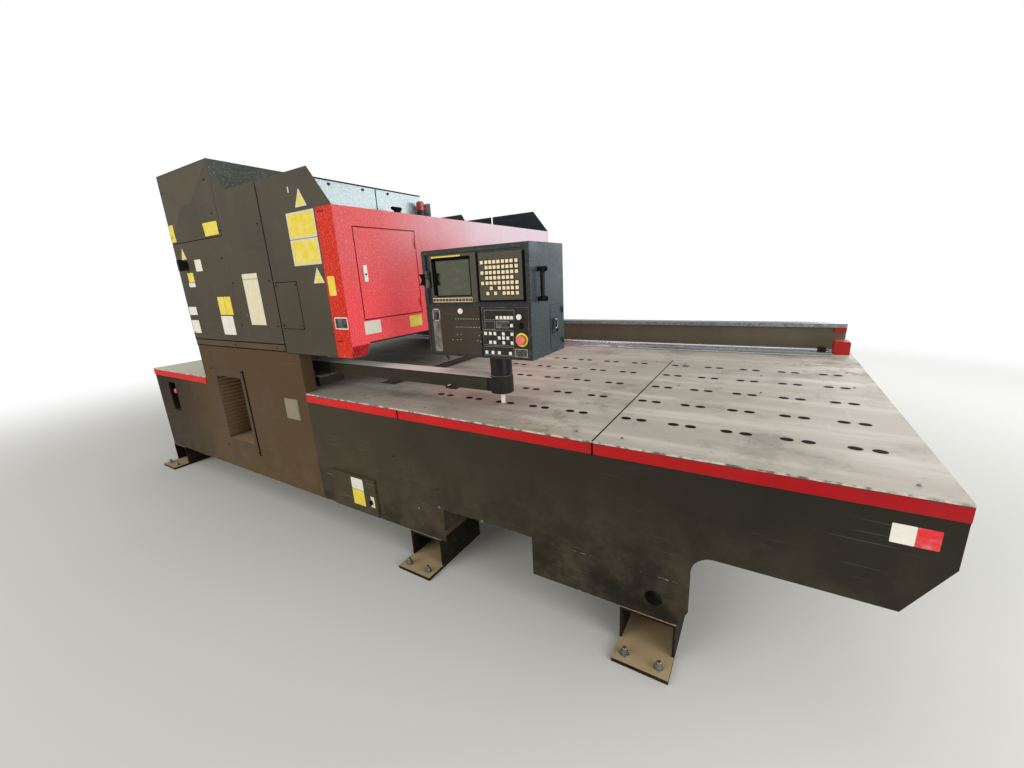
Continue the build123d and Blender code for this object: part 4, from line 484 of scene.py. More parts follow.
@dataclass(frozen=True)
class TableSteel:
    """Ground table plate: rubbed bright along the feed, with drips, rust bloom and long scratches."""

    name: str
    colour: Rgb = paint(170, 161, 147)
    bright: Rgb = paint(203, 197, 184)
    brown: Rgb = paint(124, 106, 82)
    dark: Rgb = paint(104, 96, 84)
    left_deck: Rgb = paint(214, 206, 182)
    left_end: float = -1.691

    def material(self) -> bpy.types.Material:
        """Builds the finish."""
        b = FinishBench(self.name)
        x = b.axes(b.places)[0]
        rubbed = b.cloud(1.0, 5.0, 0.6, b.stretched((0.9, 7.0, 1.0)))
        clouds = b.cloud(3.4, 6.0, 0.68)
        colour = b.blend(self.colour, self.bright, rubbed.ramp(0.42, 0.72) * 0.8)
        colour = b.blend(colour, self.dark, clouds.ramp(0.5, 0.74) * 0.55)
        bloom = b.cloud(11.0, 7.0, 0.75) + (b.cloud(1.3, 3.0) - 0.5) * 0.7
        colour = b.blend(colour, self.brown, bloom.ramp(0.56, 0.74) * 0.6)
        drips = b.cells(24.0, b.stretched((1.0, 1.0, 0.2)))
        spots = drips.ramp(0.16, 0.1) * b.cloud(2.2, 2.0).ramp(0.52, 0.62)
        colour = b.blend(colour, self.dark, spots * 0.55)
        lines = self._lines(b, (1.1, 240.0, 1.0), 0.0) + self._lines(b, (150.0, 1.4, 1.0), 0.35)
        lines = lines + self._lines(b, (2.0, 190.0, 1.0), -0.2)
        colour = b.blend(colour, self.bright, lines.least(1.0) * 0.65)
        side = 1.0 - b.facing_up()
        colour = b.blend(colour, b.blend(self.dark, self.bright, b.cloud(30.0, 4.0).ramp(0.35, 0.6)), side)
        deck = x.ramp(self.left_end + 0.01, self.left_end - 0.01) * b.facing_up()
        colour = b.blend(colour, b.blend(self.left_deck, self.brown, bloom.ramp(0.55, 0.85) * 0.5), deck)
        rust = bloom.ramp(0.56, 0.74)
        rough = clouds * 0.2 + 0.46 + rust * 0.12
        relief = b.cloud(1.0, 3.0, 0.6, b.stretched((4.0, 420.0, 40.0))) * 0.4 + clouds * 0.6 - lines * 0.4
        return b.close(base_color=colour, roughness=rough.least(0.9), metallic=(1.0 - rust * 0.8) * 0.12,
                       normal=b.relief(relief, 0.0003, 0.4))

    @staticmethod
    def _lines(b: FinishBench, stretch: Point, turn: float) -> Signal:
        """One family of long scratches."""
        vector = b.node("ShaderNodeMapping", inputs={
            "Vector": b.places, "Rotation": (0.0, 0.0, turn), "Scale": stretch})
        return b.cloud(1.0, 1.0, 0.5, vector).ramp(0.7, 0.73) * b.cloud(1.9, 3.0).ramp(0.48, 0.6)


@dataclass(frozen=True)
class Moulding:
    """Moulded plastic or rubber with a fine grain and greasy, dusty handling marks."""

    name: str
    colour: Rgb
    roughness: float = 0.45
    grain: float = 600.0
    depth: float = 0.0002
    dirt: Rgb = paint(120, 108, 90)
    dirt_share: float = 0.25
    coat: float = 0.0
    specular: float = 0.4
    tip: Optional[Rgb] = None
    tip_top: float = 0.0

    def material(self) -> bpy.types.Material:
        """Builds the finish."""
        b = FinishBench(self.name)
        marks = b.cloud(26.0, 6.0, 0.7)
        colour = b.blend(*shades(self.colour, 0.88, 1.1), b.cloud(60.0, 3.0))
        soiled = (marks.ramp(0.5, 0.78) + b.facing_up() * 0.35).least(1.0)
        colour = b.blend(colour, self.dirt, soiled * self.dirt_share)
        if self.tip:
            colour = b.blend(colour, self.tip, b.axes(b.places)[2].ramp(self.tip_top, self.tip_top - 0.002))
        rough = marks.ramp(0.3, 0.8, self.roughness - 0.08, self.roughness + 0.12)
        return b.close(base_color=colour, roughness=rough, coat_weight=self.coat, coat_roughness=0.2,
                       specular_ior_level=self.specular,
                       normal=b.relief(b.cloud(self.grain, 2.0), self.depth, 0.5))


@dataclass(frozen=True)
class ScreenGlass:
    """Unlit display glass: dull olive grey with dust and wipe marks."""

    name: str
    colour: Rgb = paint(84, 86, 74)

    def material(self) -> bpy.types.Material:
        """Builds the finish."""
        b = FinishBench(self.name)
        wipes = b.cloud(1.0, 4.0, 0.6, b.stretched((14.0, 14.0, 45.0)))
        dust = b.cloud(900.0, 1.0).ramp(0.62, 0.7) * 0.25
        colour = b.blend(self.colour, paint(96, 97, 84), wipes.ramp(0.45, 0.75))
        colour = b.blend(colour, paint(130, 128, 114), dust)
        return b.close(base_color=colour, roughness=wipes * 0.2 + 0.5, specular_ior_level=0.12)


@dataclass(frozen=True)
class LampLens:
    """Ribbed translucent lamp lens."""

    name: str
    colour: Rgb = paint(200, 22, 20)
    ribs: float = 560.0

    def material(self) -> bpy.types.Material:
        """Builds the finish."""
        b = FinishBench(self.name)
        z = b.axes(b.places)[2]
        ribs = b.node("ShaderNodeMath", {"operation": "SINE"}, {0: z * self.ribs})
        colour = b.blend(self.colour, paint(120, 8, 8), ribs.ramp(-0.4, 1.0) * 0.5 + b.cloud(90.0) * 0.2)
        return b.close(base_color=colour, roughness=b.cloud(40.0).ramp(0.2, 0.8, 0.16, 0.3),
                       coat_weight=0.7, coat_roughness=0.1, transmission_weight=0.12,
                       normal=b.relief(ribs, 0.0006, 0.6))


@dataclass(frozen=True)
class PlateEnamel:
    """Enamelled sign plate, bare of words, a little faded and smudged."""

    name: str
    colour: Rgb
    soil: Rgb = paint(110, 96, 72)
    soil_share: float = 0.35
    roughness: float = 0.38
    specular: float = 0.3

    def material(self) -> bpy.types.Material:
        """Builds the finish."""
        b = FinishBench(self.name)
        fade = b.cloud(22.0, 4.0, 0.6)
        pale = tuple(part + (1.0 - part) * 0.18 for part in self.colour)
        colour = b.blend(self.colour, pale, fade.ramp(0.35, 0.75))
        smudge = b.cloud(48.0, 6.0, 0.72).ramp(0.52, 0.8)
        colour = b.blend(colour, self.soil, smudge * self.soil_share)
        scratch = b.cloud(1.0, 2.0, 0.5, b.stretched((30.0, 30.0, 700.0))).ramp(0.68, 0.73) * 0.4
        colour = b.blend(colour, tuple(part * 0.6 for part in self.colour), scratch)
        return b.close(base_color=colour, roughness=smudge * 0.2 + self.roughness,
                       specular_ior_level=self.specular, normal=b.relief(fade * 0.4 + scratch, 0.0001, 0.4))


@dataclass(frozen=True)
class BristleFibre:
    """Stiff nylon bristles, dusty at their tips."""

    name: str
    colour: Rgb = paint(30, 29, 28)
    tip: Rgb = paint(92, 86, 76)
    top: float = 0.936

    def material(self) -> bpy.types.Material:
        """Builds the finish."""
        b = FinishBench(self.name)
        z = b.axes(b.places)[2]
        strands = b.cloud(1.0, 2.0, 0.5, b.stretched((900.0, 900.0, 60.0)))
        colour = b.blend(self.colour, self.tip, z.ramp(self.top - 0.01, self.top) * strands.ramp(0.4, 0.7))
        return b.close(base_color=colour, roughness=strands * 0.2 + 0.55,
                       normal=b.relief(strands, 0.0004, 0.6))


class Facing(Enum):
    """Side of the machine that a fitting faces, as the directions of its width, height and outward axis."""

    FRONT = ((1, 0, 0), (0, 0, 1), (0, -1, 0))
    RIGHT = ((0, 1, 0), (0, 0, 1), (1, 0, 0))
    UP = ((1, 0, 0), (0, 1, 0), (0, 0, 1))

    def at(self, place: Point, turn: float = 0.0) -> Matrix:
        """Where a fitting modelled facing up goes.

        Args:
            place: Seat of the fitting on its panel.
            turn: Turn in the panel's plane, in radians.

        Returns:
            The matrix from the fitting's own frame to the machine.
        """
        columns = Matrix(self.value).transposed().to_4x4()
        return Matrix.Translation(place) @ columns @ Matrix.Rotation(turn, 4, "Z")


def clear_selection() -> None:
    """Leaves nothing selected."""
    bpy.ops.object.select_all(action="DESELECT")


def alone(piece: Piece) -> None:
    """Selects one piece and makes it active."""
    clear_selection()
    piece.select_set(True)
    bpy.context.view_layer.objects.active = piece


@contextmanager
def editing(piece: Piece) -> Iterator[None]:
    """Holds a piece in edit mode."""
    alone(piece)
    bpy.ops.object.mode_set(mode="EDIT")
    try:
        yield
    finally:
        bpy.ops.object.mode_set(mode="OBJECT")


def pick(piece: Piece, kind: str, test: Test) -> None:
    """Selects faces or edges of the piece in edit mode.

    Args:
        piece: The piece being edited.
        kind: FACE or EDGE.
        test: Takes the middle and the normal of a face, or the middle and direction of an edge.
    """
    bpy.ops.mesh.select_mode(type=kind)
    bpy.ops.mesh.select_all(action="DESELECT")
    mesh = bmesh.from_edit_mesh(piece.data)
    if kind == "FACE":
        for face in mesh.faces:
            if test(face.calc_center_median(), face.normal):
                face.select_set(True)
    else:
        for edge in mesh.edges:
            first, second = (vertex.co for vertex in edge.verts)
            if test((first + second) / 2, (second - first).normalized()):
                edge.select_set(True)
    bmesh.update_edit_mesh(piece.data)


def cuboid(low: Point, high: Point) -> Piece:
    """Rectangular block between two corners, ready to be shaped."""
    clear_selection()
    centre = [(a + b) / 2 for a, b in zip(low, high)]
    size = [b - a for a, b in zip(low, high)]
    bpy.ops.mesh.primitive_cube_add(size=1, location=centre, scale=size)
    piece = bpy.context.object
    bpy.ops.object.transform_apply(location=True, rotation=True, scale=True)
    return piece


def tile(size: Point) -> Piece:
    """Flat block standing on its own centre, from its half width, half height and thickness."""
    across, up, thick = size
    return cuboid((-across, -up, 0.0), (across, up, thick))


def turned(radius: float, low: float, high: float, sides: int = 20, tip: Optional[float] = None) -> Piece:
    """Round blank standing on its own axis, ready to be shaped.

    Args:
        radius: Radius at the bottom.
        low: Bottom height.
        high: Top height.
        sides: Number of sides.
        tip: Radius at the top, the same as radius when left out.

    Returns:
        The blank.
    """
    clear_selection()
    bpy.ops.mesh.primitive_cone_add(
        vertices=sides, radius1=radius, radius2=radius if tip is None else tip, depth=high - low,
        location=(0, 0, (low + high) / 2),
    )
    piece = bpy.context.object
    bpy.ops.object.transform_apply(location=True, rotation=True, scale=True)
    return piece


def ease(piece: Piece, width: float, test: Optional[Test] = None, segments: int = 2) -> Piece:
    """Rounds the chosen edges of a piece."""
    with editing(piece):
        pick(piece, "EDGE", test or (lambda middle, direction: True))
        bpy.ops.mesh.bevel(offset=width, segments=segments, affect="EDGES")
    return piece


def step_in(piece: Piece, test: Test, inset: float, depth: float) -> Piece:
    """Insets the chosen faces and pushes them out or in."""
    with editing(piece):
        pick(piece, "FACE", test)
        bpy.ops.mesh.inset(thickness=inset, depth=depth)
    return piece


def facing(direction: Point, reach: Optional[float] = None) -> Test:
    """Test for faces that look along a direction, and lie past a distance when one is given."""
    axis = Vector(direction)

    def test(middle: Vector, normal: Vector) -> bool:
        """Whether a face qualifies."""
        return normal.dot(axis) > 0.9 and (reach is None or middle.dot(axis) > reach)
    return test


def past(axis: Axis, level: float) -> Test:
    """Test for what lies past a level along an axis."""
    return lambda middle, _: middle[axis.value] > level


def short_of(axis: Axis, level: float) -> Test:
    """Test for what lies short of a level along an axis."""
    return lambda middle, _: middle[axis.value] < level


def along(axis: Axis) -> Test:
    """Test for edges that run along an axis."""
    return lambda _, direction: abs(direction[axis.value]) > 0.9


def fuse(pieces: Sequence[Piece]) -> Piece:
    """Joins pieces into one."""
    clear_selection()
    for piece in pieces:
        piece.select_set(True)
    bpy.context.view_layer.objects.active = pieces[0]
    if len(pieces) > 1:
        bpy.ops.object.join()
    return pieces[0]


def repeat(master: Piece, places: Iterable[Matrix]) -> Piece:
    """Copies a modelled master to every place, each copy with its own mesh, and joins the copies."""
    copies: List[Piece] = []
    for place in places:
        twin = master.copy()
        twin.data = master.data.copy()
        bpy.context.scene.collection.objects.link(twin)
        twin.data.transform(place)
        copies.append(twin)
    bpy.data.objects.remove(master)
    return fuse(copies)


def tint(piece: Piece, index: int, test: Test) -> Piece:
    """Gives the chosen faces another of the piece's materials."""
    for polygon in piece.data.polygons:
        if test(polygon.center, polygon.normal):
            polygon.material_index = index
    return piece


def install(piece: Piece, name: str, body: str, slot: str, *finishes: bpy.types.Material) -> Piece:
    """Finishes a piece and fixes it to its body.

    Args:
        piece: The modelled piece.
        name: Its name.
        body: The body that carries it.
        slot: The record's material slot for it; not used.
        finishes: Materials in the order of their index on the faces.

    Returns:
        The installed piece.
    """
    alone(piece)
    bpy.ops.object.shade_smooth_by_angle(angle=math.radians(35))
    piece.name = name
    piece.data.name = name
    for finish in finishes:
        piece.data.materials.append(finish)
    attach(piece, body)
    LOG.info("piece %-24s %6d faces on %s", name, len(piece.data.polygons), body)
    return piece


def dress(material: bpy.types.Material, *nodes: str) -> None:
    """Puts a finish on CAD nodes."""
    for node in nodes:
        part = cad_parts[node]
        for holder in part.material_slots:
            holder.material = material
        if not part.material_slots:
            part.data.materials.append(material)
        LOG.info("finish %-24s on %s", material.name, node)


@dataclass
class Palette:
    """The finishes that several sub-assemblies share."""

    charcoal: Rgb = paint(75, 68, 54)
    red: Rgb = paint(208, 40, 10)
    made: Dict[str, bpy.types.Material] = field(default_factory=dict)

    def __getitem__(self, key: str) -> bpy.types.Material:
        """The material of that name."""
        return self.made[key]

    def build(self) -> None:
        """Makes every shared finish once."""
        finishes = [
            # facet_shading paints light and shade on each facet of the pressed panel.
            SheetPaint("tower_charcoal", self.charcoal, dust_share=0.2, facet_shading=0.07),
            SheetPaint("housing_zinc_grey", paint(68, 71, 64), dust_share=0.3, speckle=0.12, scuffs=0.6),
            SheetPaint("skirt_charcoal", paint(54, 49, 40), dust_share=0.3, scuffs=0.5),
            SheetPaint("bed_coat", paint(44, 43, 42), dust_share=0.6, roughness=0.6),
            # The near-black foot colour is painted shade on the webs and sides; the pale top is dust together
            # with painted light on the plates.
            SheetPaint("foot_coat", paint(26, 23, 19), dust_share=0.1, roughness=0.6, scuffs=0.5,
                       top=paint(172, 150, 112), specular=0.05),
            # The pale colour behind the vent frame is painted light on the louvres in the recess.
            SheetPaint("vent_coat", paint(74, 58, 42), dust_share=0.3, recess_light_and_shade=paint(150, 128, 98),
                       recess_light_and_shade_from=-1.2535),
            SheetPaint("frame_coat", paint(74, 72, 70), dust_share=0.4),
            SheetPaint("carriage_coat", paint(96, 98, 100), dust_share=0.3),
            SheetPaint("ledge_coat", paint(84, 69, 49), dust_share=0.3),
            BareSteel("machined_steel", paint(168, 168, 166)),
            BareSteel("ground_rail", paint(190, 192, 194), stain_share=0.2, roughness=0.24),
            BareSteel("zinc_fastener", paint(150, 150, 146), stain_share=0.35, roughness=0.38),
            BareSteel("dark_fastener", paint(58, 56, 53), stain_share=0.4, roughness=0.42),
            BareSteel("burnt_plate", paint(112, 100, 88), stain=paint(62, 46, 34), stain_share=0.75,
                      roughness=0.55),
            BareSteel("turned_copper", paint(196, 122, 84), stain=paint(96, 58, 38), stain_share=0.35),
            Galvanised("bridge_zinc", paint(172, 184, 186)),
            Galvanised("guard_zinc", paint(140, 146, 148), spread=0.26),
            Moulding("black_moulding", paint(22, 22, 23), dirt_share=0.3),
            Moulding("satin_black", paint(17, 18, 19), roughness=0.36, specular=0.2, dirt_share=0.06),
            Moulding("stop_red", paint(206, 44, 40), roughness=0.3, coat=0.4, dirt_share=0.12),
            Moulding("pink_stop", paint(226, 112, 104), roughness=0.3, coat=0.4, dirt_share=0.12),
            Moulding("collar_yellow", paint(232, 200, 34), roughness=0.4, dirt_share=0.15),
            Moulding("cap_white", paint(236, 232, 220), roughness=0.36, dirt_share=0.12),
            Moulding("cap_cream", paint(238, 216, 178), roughness=0.4, dirt_share=0.18),
            Moulding("brush_block", paint(26, 26, 26), roughness=0.6),
            Moulding("bezel_brown", paint(78, 75, 61), roughness=0.55, specular=0.15, dirt_share=0.25),
            # Dark red for the painted shade round the side door's gap.
            Moulding("gap_shade_red", paint(104, 14, 22), roughness=0.6, specular=0.1, dirt_share=0.1),
            Moulding("joint_black", paint(9, 8, 8), roughness=0.7, specular=0.05, dirt_share=0.05),
            Moulding("key_brown", paint(96, 76, 50), roughness=0.5, specular=0.2),
            PlateEnamel("line_grey", paint(150, 147, 134)),
            PlateEnamel("rim_brown", paint(54, 50, 42), specular=0.1),
            PlateEnamel("strip_grey", paint(92, 88, 78), soil=paint(60, 57, 50), specular=0.1),
            PlateEnamel("socket_grey", paint(38, 38, 35), soil=paint(66, 63, 55), specular=0.1,
                        roughness=0.6),
            SheetPaint("pendant_side", paint(46, 57, 61), dust_share=0.2, dust_top=1.9),
            SheetPaint("cover_olive", paint(142, 134, 106), dust_share=0.2, dust_top=1.4, shade=0.3),
            SheetPaint("end_plate_slate", paint(34, 43, 51), dust_share=0.1, dust_top=0.2),
            SheetPaint("guard_charcoal", paint(106, 98, 82), dust_share=0.3),
            PlateEnamel("plate_yellow", paint(230, 206, 34)),
            PlateEnamel("plate_white", paint(226, 222, 208)),
            PlateEnamel("plate_cream", paint(222, 212, 178)),
            PlateEnamel("plate_edge", paint(206, 202, 178), soil_share=0.3),
            PlateEnamel("plate_dark", paint(30, 32, 33), soil=paint(70, 69, 65), specular=0.08,
                        roughness=0.6),
            PlateEnamel("plate_red", paint(214, 40, 48)),
        ]
        for finish in finishes:
            self.made[finish.name] = finish.material()


@dataclass(frozen=True)
class PlateSpec:
    """One bare sign plate.

    Its corner is the radius of the outline, its border the width of the pale margin, and sides is 3 for a
    triangular one.
    """

    low: Tuple[float, float]
    high: Tuple[float, float]
    finish: str = "plate_yellow"
    border: float = 0.0
    corner: float = 0.003
    sides: int = 4


@dataclass
class SignShop:
    """Makes the bare sign plates and screws of every assembly."""

    palette: Palette
    thickness: float = 0.0008
    screw_turn: float = 0.4

    def plate(self, spec: PlateSpec, side: Facing, depth: float, name: str, body: str, slot: str,
              edge: str = "plate_edge", crease: Optional[Crease] = None) -> Piece:
        """Models one plate and fixes it.

        Args:
            spec: Outline and finish.
            side: Side of the machine that it faces.
            depth: Place of the panel along the outward axis of that side.
            name: Name of the piece.
            body: Body that carries it.
            slot: The record's material slot.
            edge: Finish of the margin.
            crease: How far a creased front panel stands proud at a place; the plate follows it.

        Returns:
            The installed plate.
        """
        width = spec.high[0] - spec.low[0]
        height = spec.high[1] - spec.low[1]
        across = (spec.high[0] + spec.low[0]) / 2
        up = (spec.high[1] + spec.low[1]) / 2
        if spec.sides == 3:
            clear_selection()
            bpy.ops.mesh.primitive_cylinder_add(vertices=3, radius=1, depth=self.thickness,
                                                location=(0, 0, self.thickness / 2))
            blank = bpy.context.object
            bpy.ops.object.transform_apply(location=True, rotation=True, scale=True)
            blank.data.transform(Matrix.Diagonal((width / math.sqrt(3), height / 1.5, 1, 1))
                                 @ Matrix.Translation((0, -0.25, 0)))
        else:
            blank = cuboid((-width / 2, -height / 2, 0), (width / 2, height / 2, self.thickness))
        ease(blank, spec.corner, along(Axis.Z), 3)
        ease(blank, self.thickness * 0.3,
             lambda middle, direction: abs(direction.z) < 0.1 and middle.z > self.thickness * 0.9, 1)
        if spec.border:
            self._mark_margin(blank, width, height, spec)
        seat = {Facing.FRONT: (across, depth, up), Facing.RIGHT: (depth, across, up),
                Facing.UP: (across, up, depth)}[side]
        blank.data.transform(side.at(seat))
        if crease:
            self._follow(blank, crease)
        return install(blank, name, body, slot, self.palette[spec.finish], self.palette[edge])

    @staticmethod
    def _mark_margin(blank: Piece, width: float, height: float, spec: PlateSpec) -> None:
        """Cuts the face along its margin and gives the margin the second finish."""
        corners = [Vector((-width / 2, -height / 2)), Vector((width / 2, -height / 2))]
        corners += [Vector((0, height / 2))] if spec.sides == 3 else [
            Vector((width / 2, height / 2)), Vector((-width / 2, height / 2))]
        lines = []
        for start, end in zip(corners, corners[1:] + corners[:1]):
            run = (end - start).normalized()
            inward = Vector((-run.y, run.x))
            lines.append((start + inward * spec.border, inward))
        with editing(blank):
            for place, inward in lines:
                bpy.ops.mesh.select_all(action="SELECT")
                bpy.ops.mesh.bisect(plane_co=(*place, 0), plane_no=(*inward, 0))
        tint(blank, 1, lambda middle, normal: normal.z < 0.9 or any(
            (middle.xy - place).dot(inward) < 0 for place, inward in lines))

    @staticmethod
    def _follow(blank: Piece, crease: Crease, cuts: int = 7) -> None:
        """Cuts a front plate to a fine net and lays it on a creased panel."""
        low = [min(vertex.co[axis] for vertex in blank.data.vertices) for axis in (0, 2)]
        high = [max(vertex.co[axis] for vertex in blank.data.vertices) for axis in (0, 2)]
        with editing(blank):
            for step in range(1, cuts):
                share = step / cuts
                across, up = (a + (b - a) * share for a, b in zip(low, high))
                for place, normal in (((across, 0, 0), (1, 0, 0)), ((0, 0, up), (0, 0, 1))):
                    bpy.ops.mesh.select_all(action="SELECT")
                    bpy.ops.mesh.bisect(plane_co=place, plane_no=normal)
        for vertex in blank.data.vertices:
            vertex.co.y -= crease(vertex.co.x, vertex.co.z)

    def frame(self, spec: PlateSpec, wall: float, side: Facing, depth: float, name: str, body: str, slot: str,
              finish: str, thickness: float = 0.0005) -> Piece:
        """Models a thin open frame and fixes it.

        Args:
            spec: Outer outline.
            wall: Width of the frame's bars.
            side: Side of the machine that it faces.
            depth: Place of the panel along the outward axis of that side.
            name: Name of the piece.
            body: Body that carries it.
            slot: The record's material slot.
            finish: Its finish.
            thickness: How far it stands proud.

        Returns:
            The installed frame.
        """
        (x0, z0), (x1, z1) = spec.low, spec.high
        across, up = (x0 + x1) / 2, (z0 + z1) / 2
        ring = cuboid((x0 - across, z0 - up, 0), (x1 - across, z1 - up, thickness))
        with editing(ring):
            pick(ring, "FACE", lambda middle, normal: abs(normal.z) > 0.9)
            bpy.ops.mesh.inset(thickness=wall, depth=0.0)
            pick(ring, "FACE", lambda middle, normal: abs(normal.z) > 0.9 and middle.xy.length < wall * 0.2)
            bpy.ops.mesh.bridge_edge_loops()
        ease(ring, thickness * 0.3, past(Axis.Z, thickness * 0.9), 1)
        seat = {Facing.FRONT: (across, depth, up), Facing.RIGHT: (depth, across, up)}[side]
        ring.data.transform(side.at(seat))
        return install(ring, name, body, slot, self.palette[finish])

    @staticmethod
    def button_screw(radius: float) -> Piece:
        """Button-head screw with a socket, facing up."""
        height = radius * 0.6
        screw = turned(radius, 0, height, 14)
        step_in(screw, facing((0, 0, 1)), radius * 0.16, radius * 0.16)
        step_in(screw, facing((0, 0, 1), height), radius * 0.3, 0.0)
        step_in(screw, lambda middle, normal: normal.z > 0.9 and middle.xy.length < radius * 0.1,
                radius * 0.06, -radius * 0.45)
        return screw

    def screws(self, places: Sequence[Point], side: Facing, radius: float, name: str, body: str, slot: str,
               finish: str = "dark_fastener") -> Piece:
        """Fixes one screw at every place."""
        seats = [side.at(place, self.screw_turn * number) for number, place in enumerate(places)]
        return install(repeat(self.button_screw(radius), seats), name, body, slot, self.palette[finish])


@dataclass
class Assembly:
    """A sub-assembly, mostly carried by one body, that draws on the shared finishes."""

    palette: Palette
    body: ClassVar[str] = "machine"

    def fit(self, piece: Piece, name: str, slot: str, finish: str) -> Piece:
        """Installs a piece on the assembly's body with a shared finish."""
        return install(piece, name, self.body, slot, self.palette[finish])


@dataclass
class BedAndFeet(Assembly):
    """Welded bed on its feet, with the floor anchors."""

    stations: Tuple[float, ...] = (-2.584, 0.585, 1.840)
    half_spacing: float = 0.071
    row: float = 1.332
    base_top: float = 0.018
    stud: float = 0.010
    nut: float = 0.0165

    def anchors(self) -> Piece:
        """Stud, nut and washer of every floor anchor."""
        washer = ease(turned(0.0195, 0, 0.003, 24), 0.0006, past(Axis.Z, 0.002), 1)
        nut = turned(self.nut, 0.003, 0.019, 6)
        ease(nut, 0.0022, lambda middle, direction: middle.z > 0.018 and abs(direction.z) < 0.1, 2)
        stud = turned(self.stud, 0.0, 0.034, 16)
        ease(stud, 0.0018, lambda middle, direction: middle.z > 0.033 and abs(direction.z) < 0.1, 1)
        master = fuse([washer, nut, stud])
        places = [
            Facing.UP.at((x + across, side * self.row, self.base_top), x * 3 + across * 9 + side)
            for x in self.stations
            for across in (-self.half_spacing, self.half_spacing)
            for side in (-1, 1)
        ]
        return self.fit(repeat(master, places), "floor_anchors", "post_steel", "zinc_fastener")

    def build(self) -> None:
        """Dresses the bed and fixes the anchors."""
        dress(self.palette["foot_coat"], "foot_plinths")
        dress(self.palette["bed_coat"], "bed_frame")
        self.anchors()


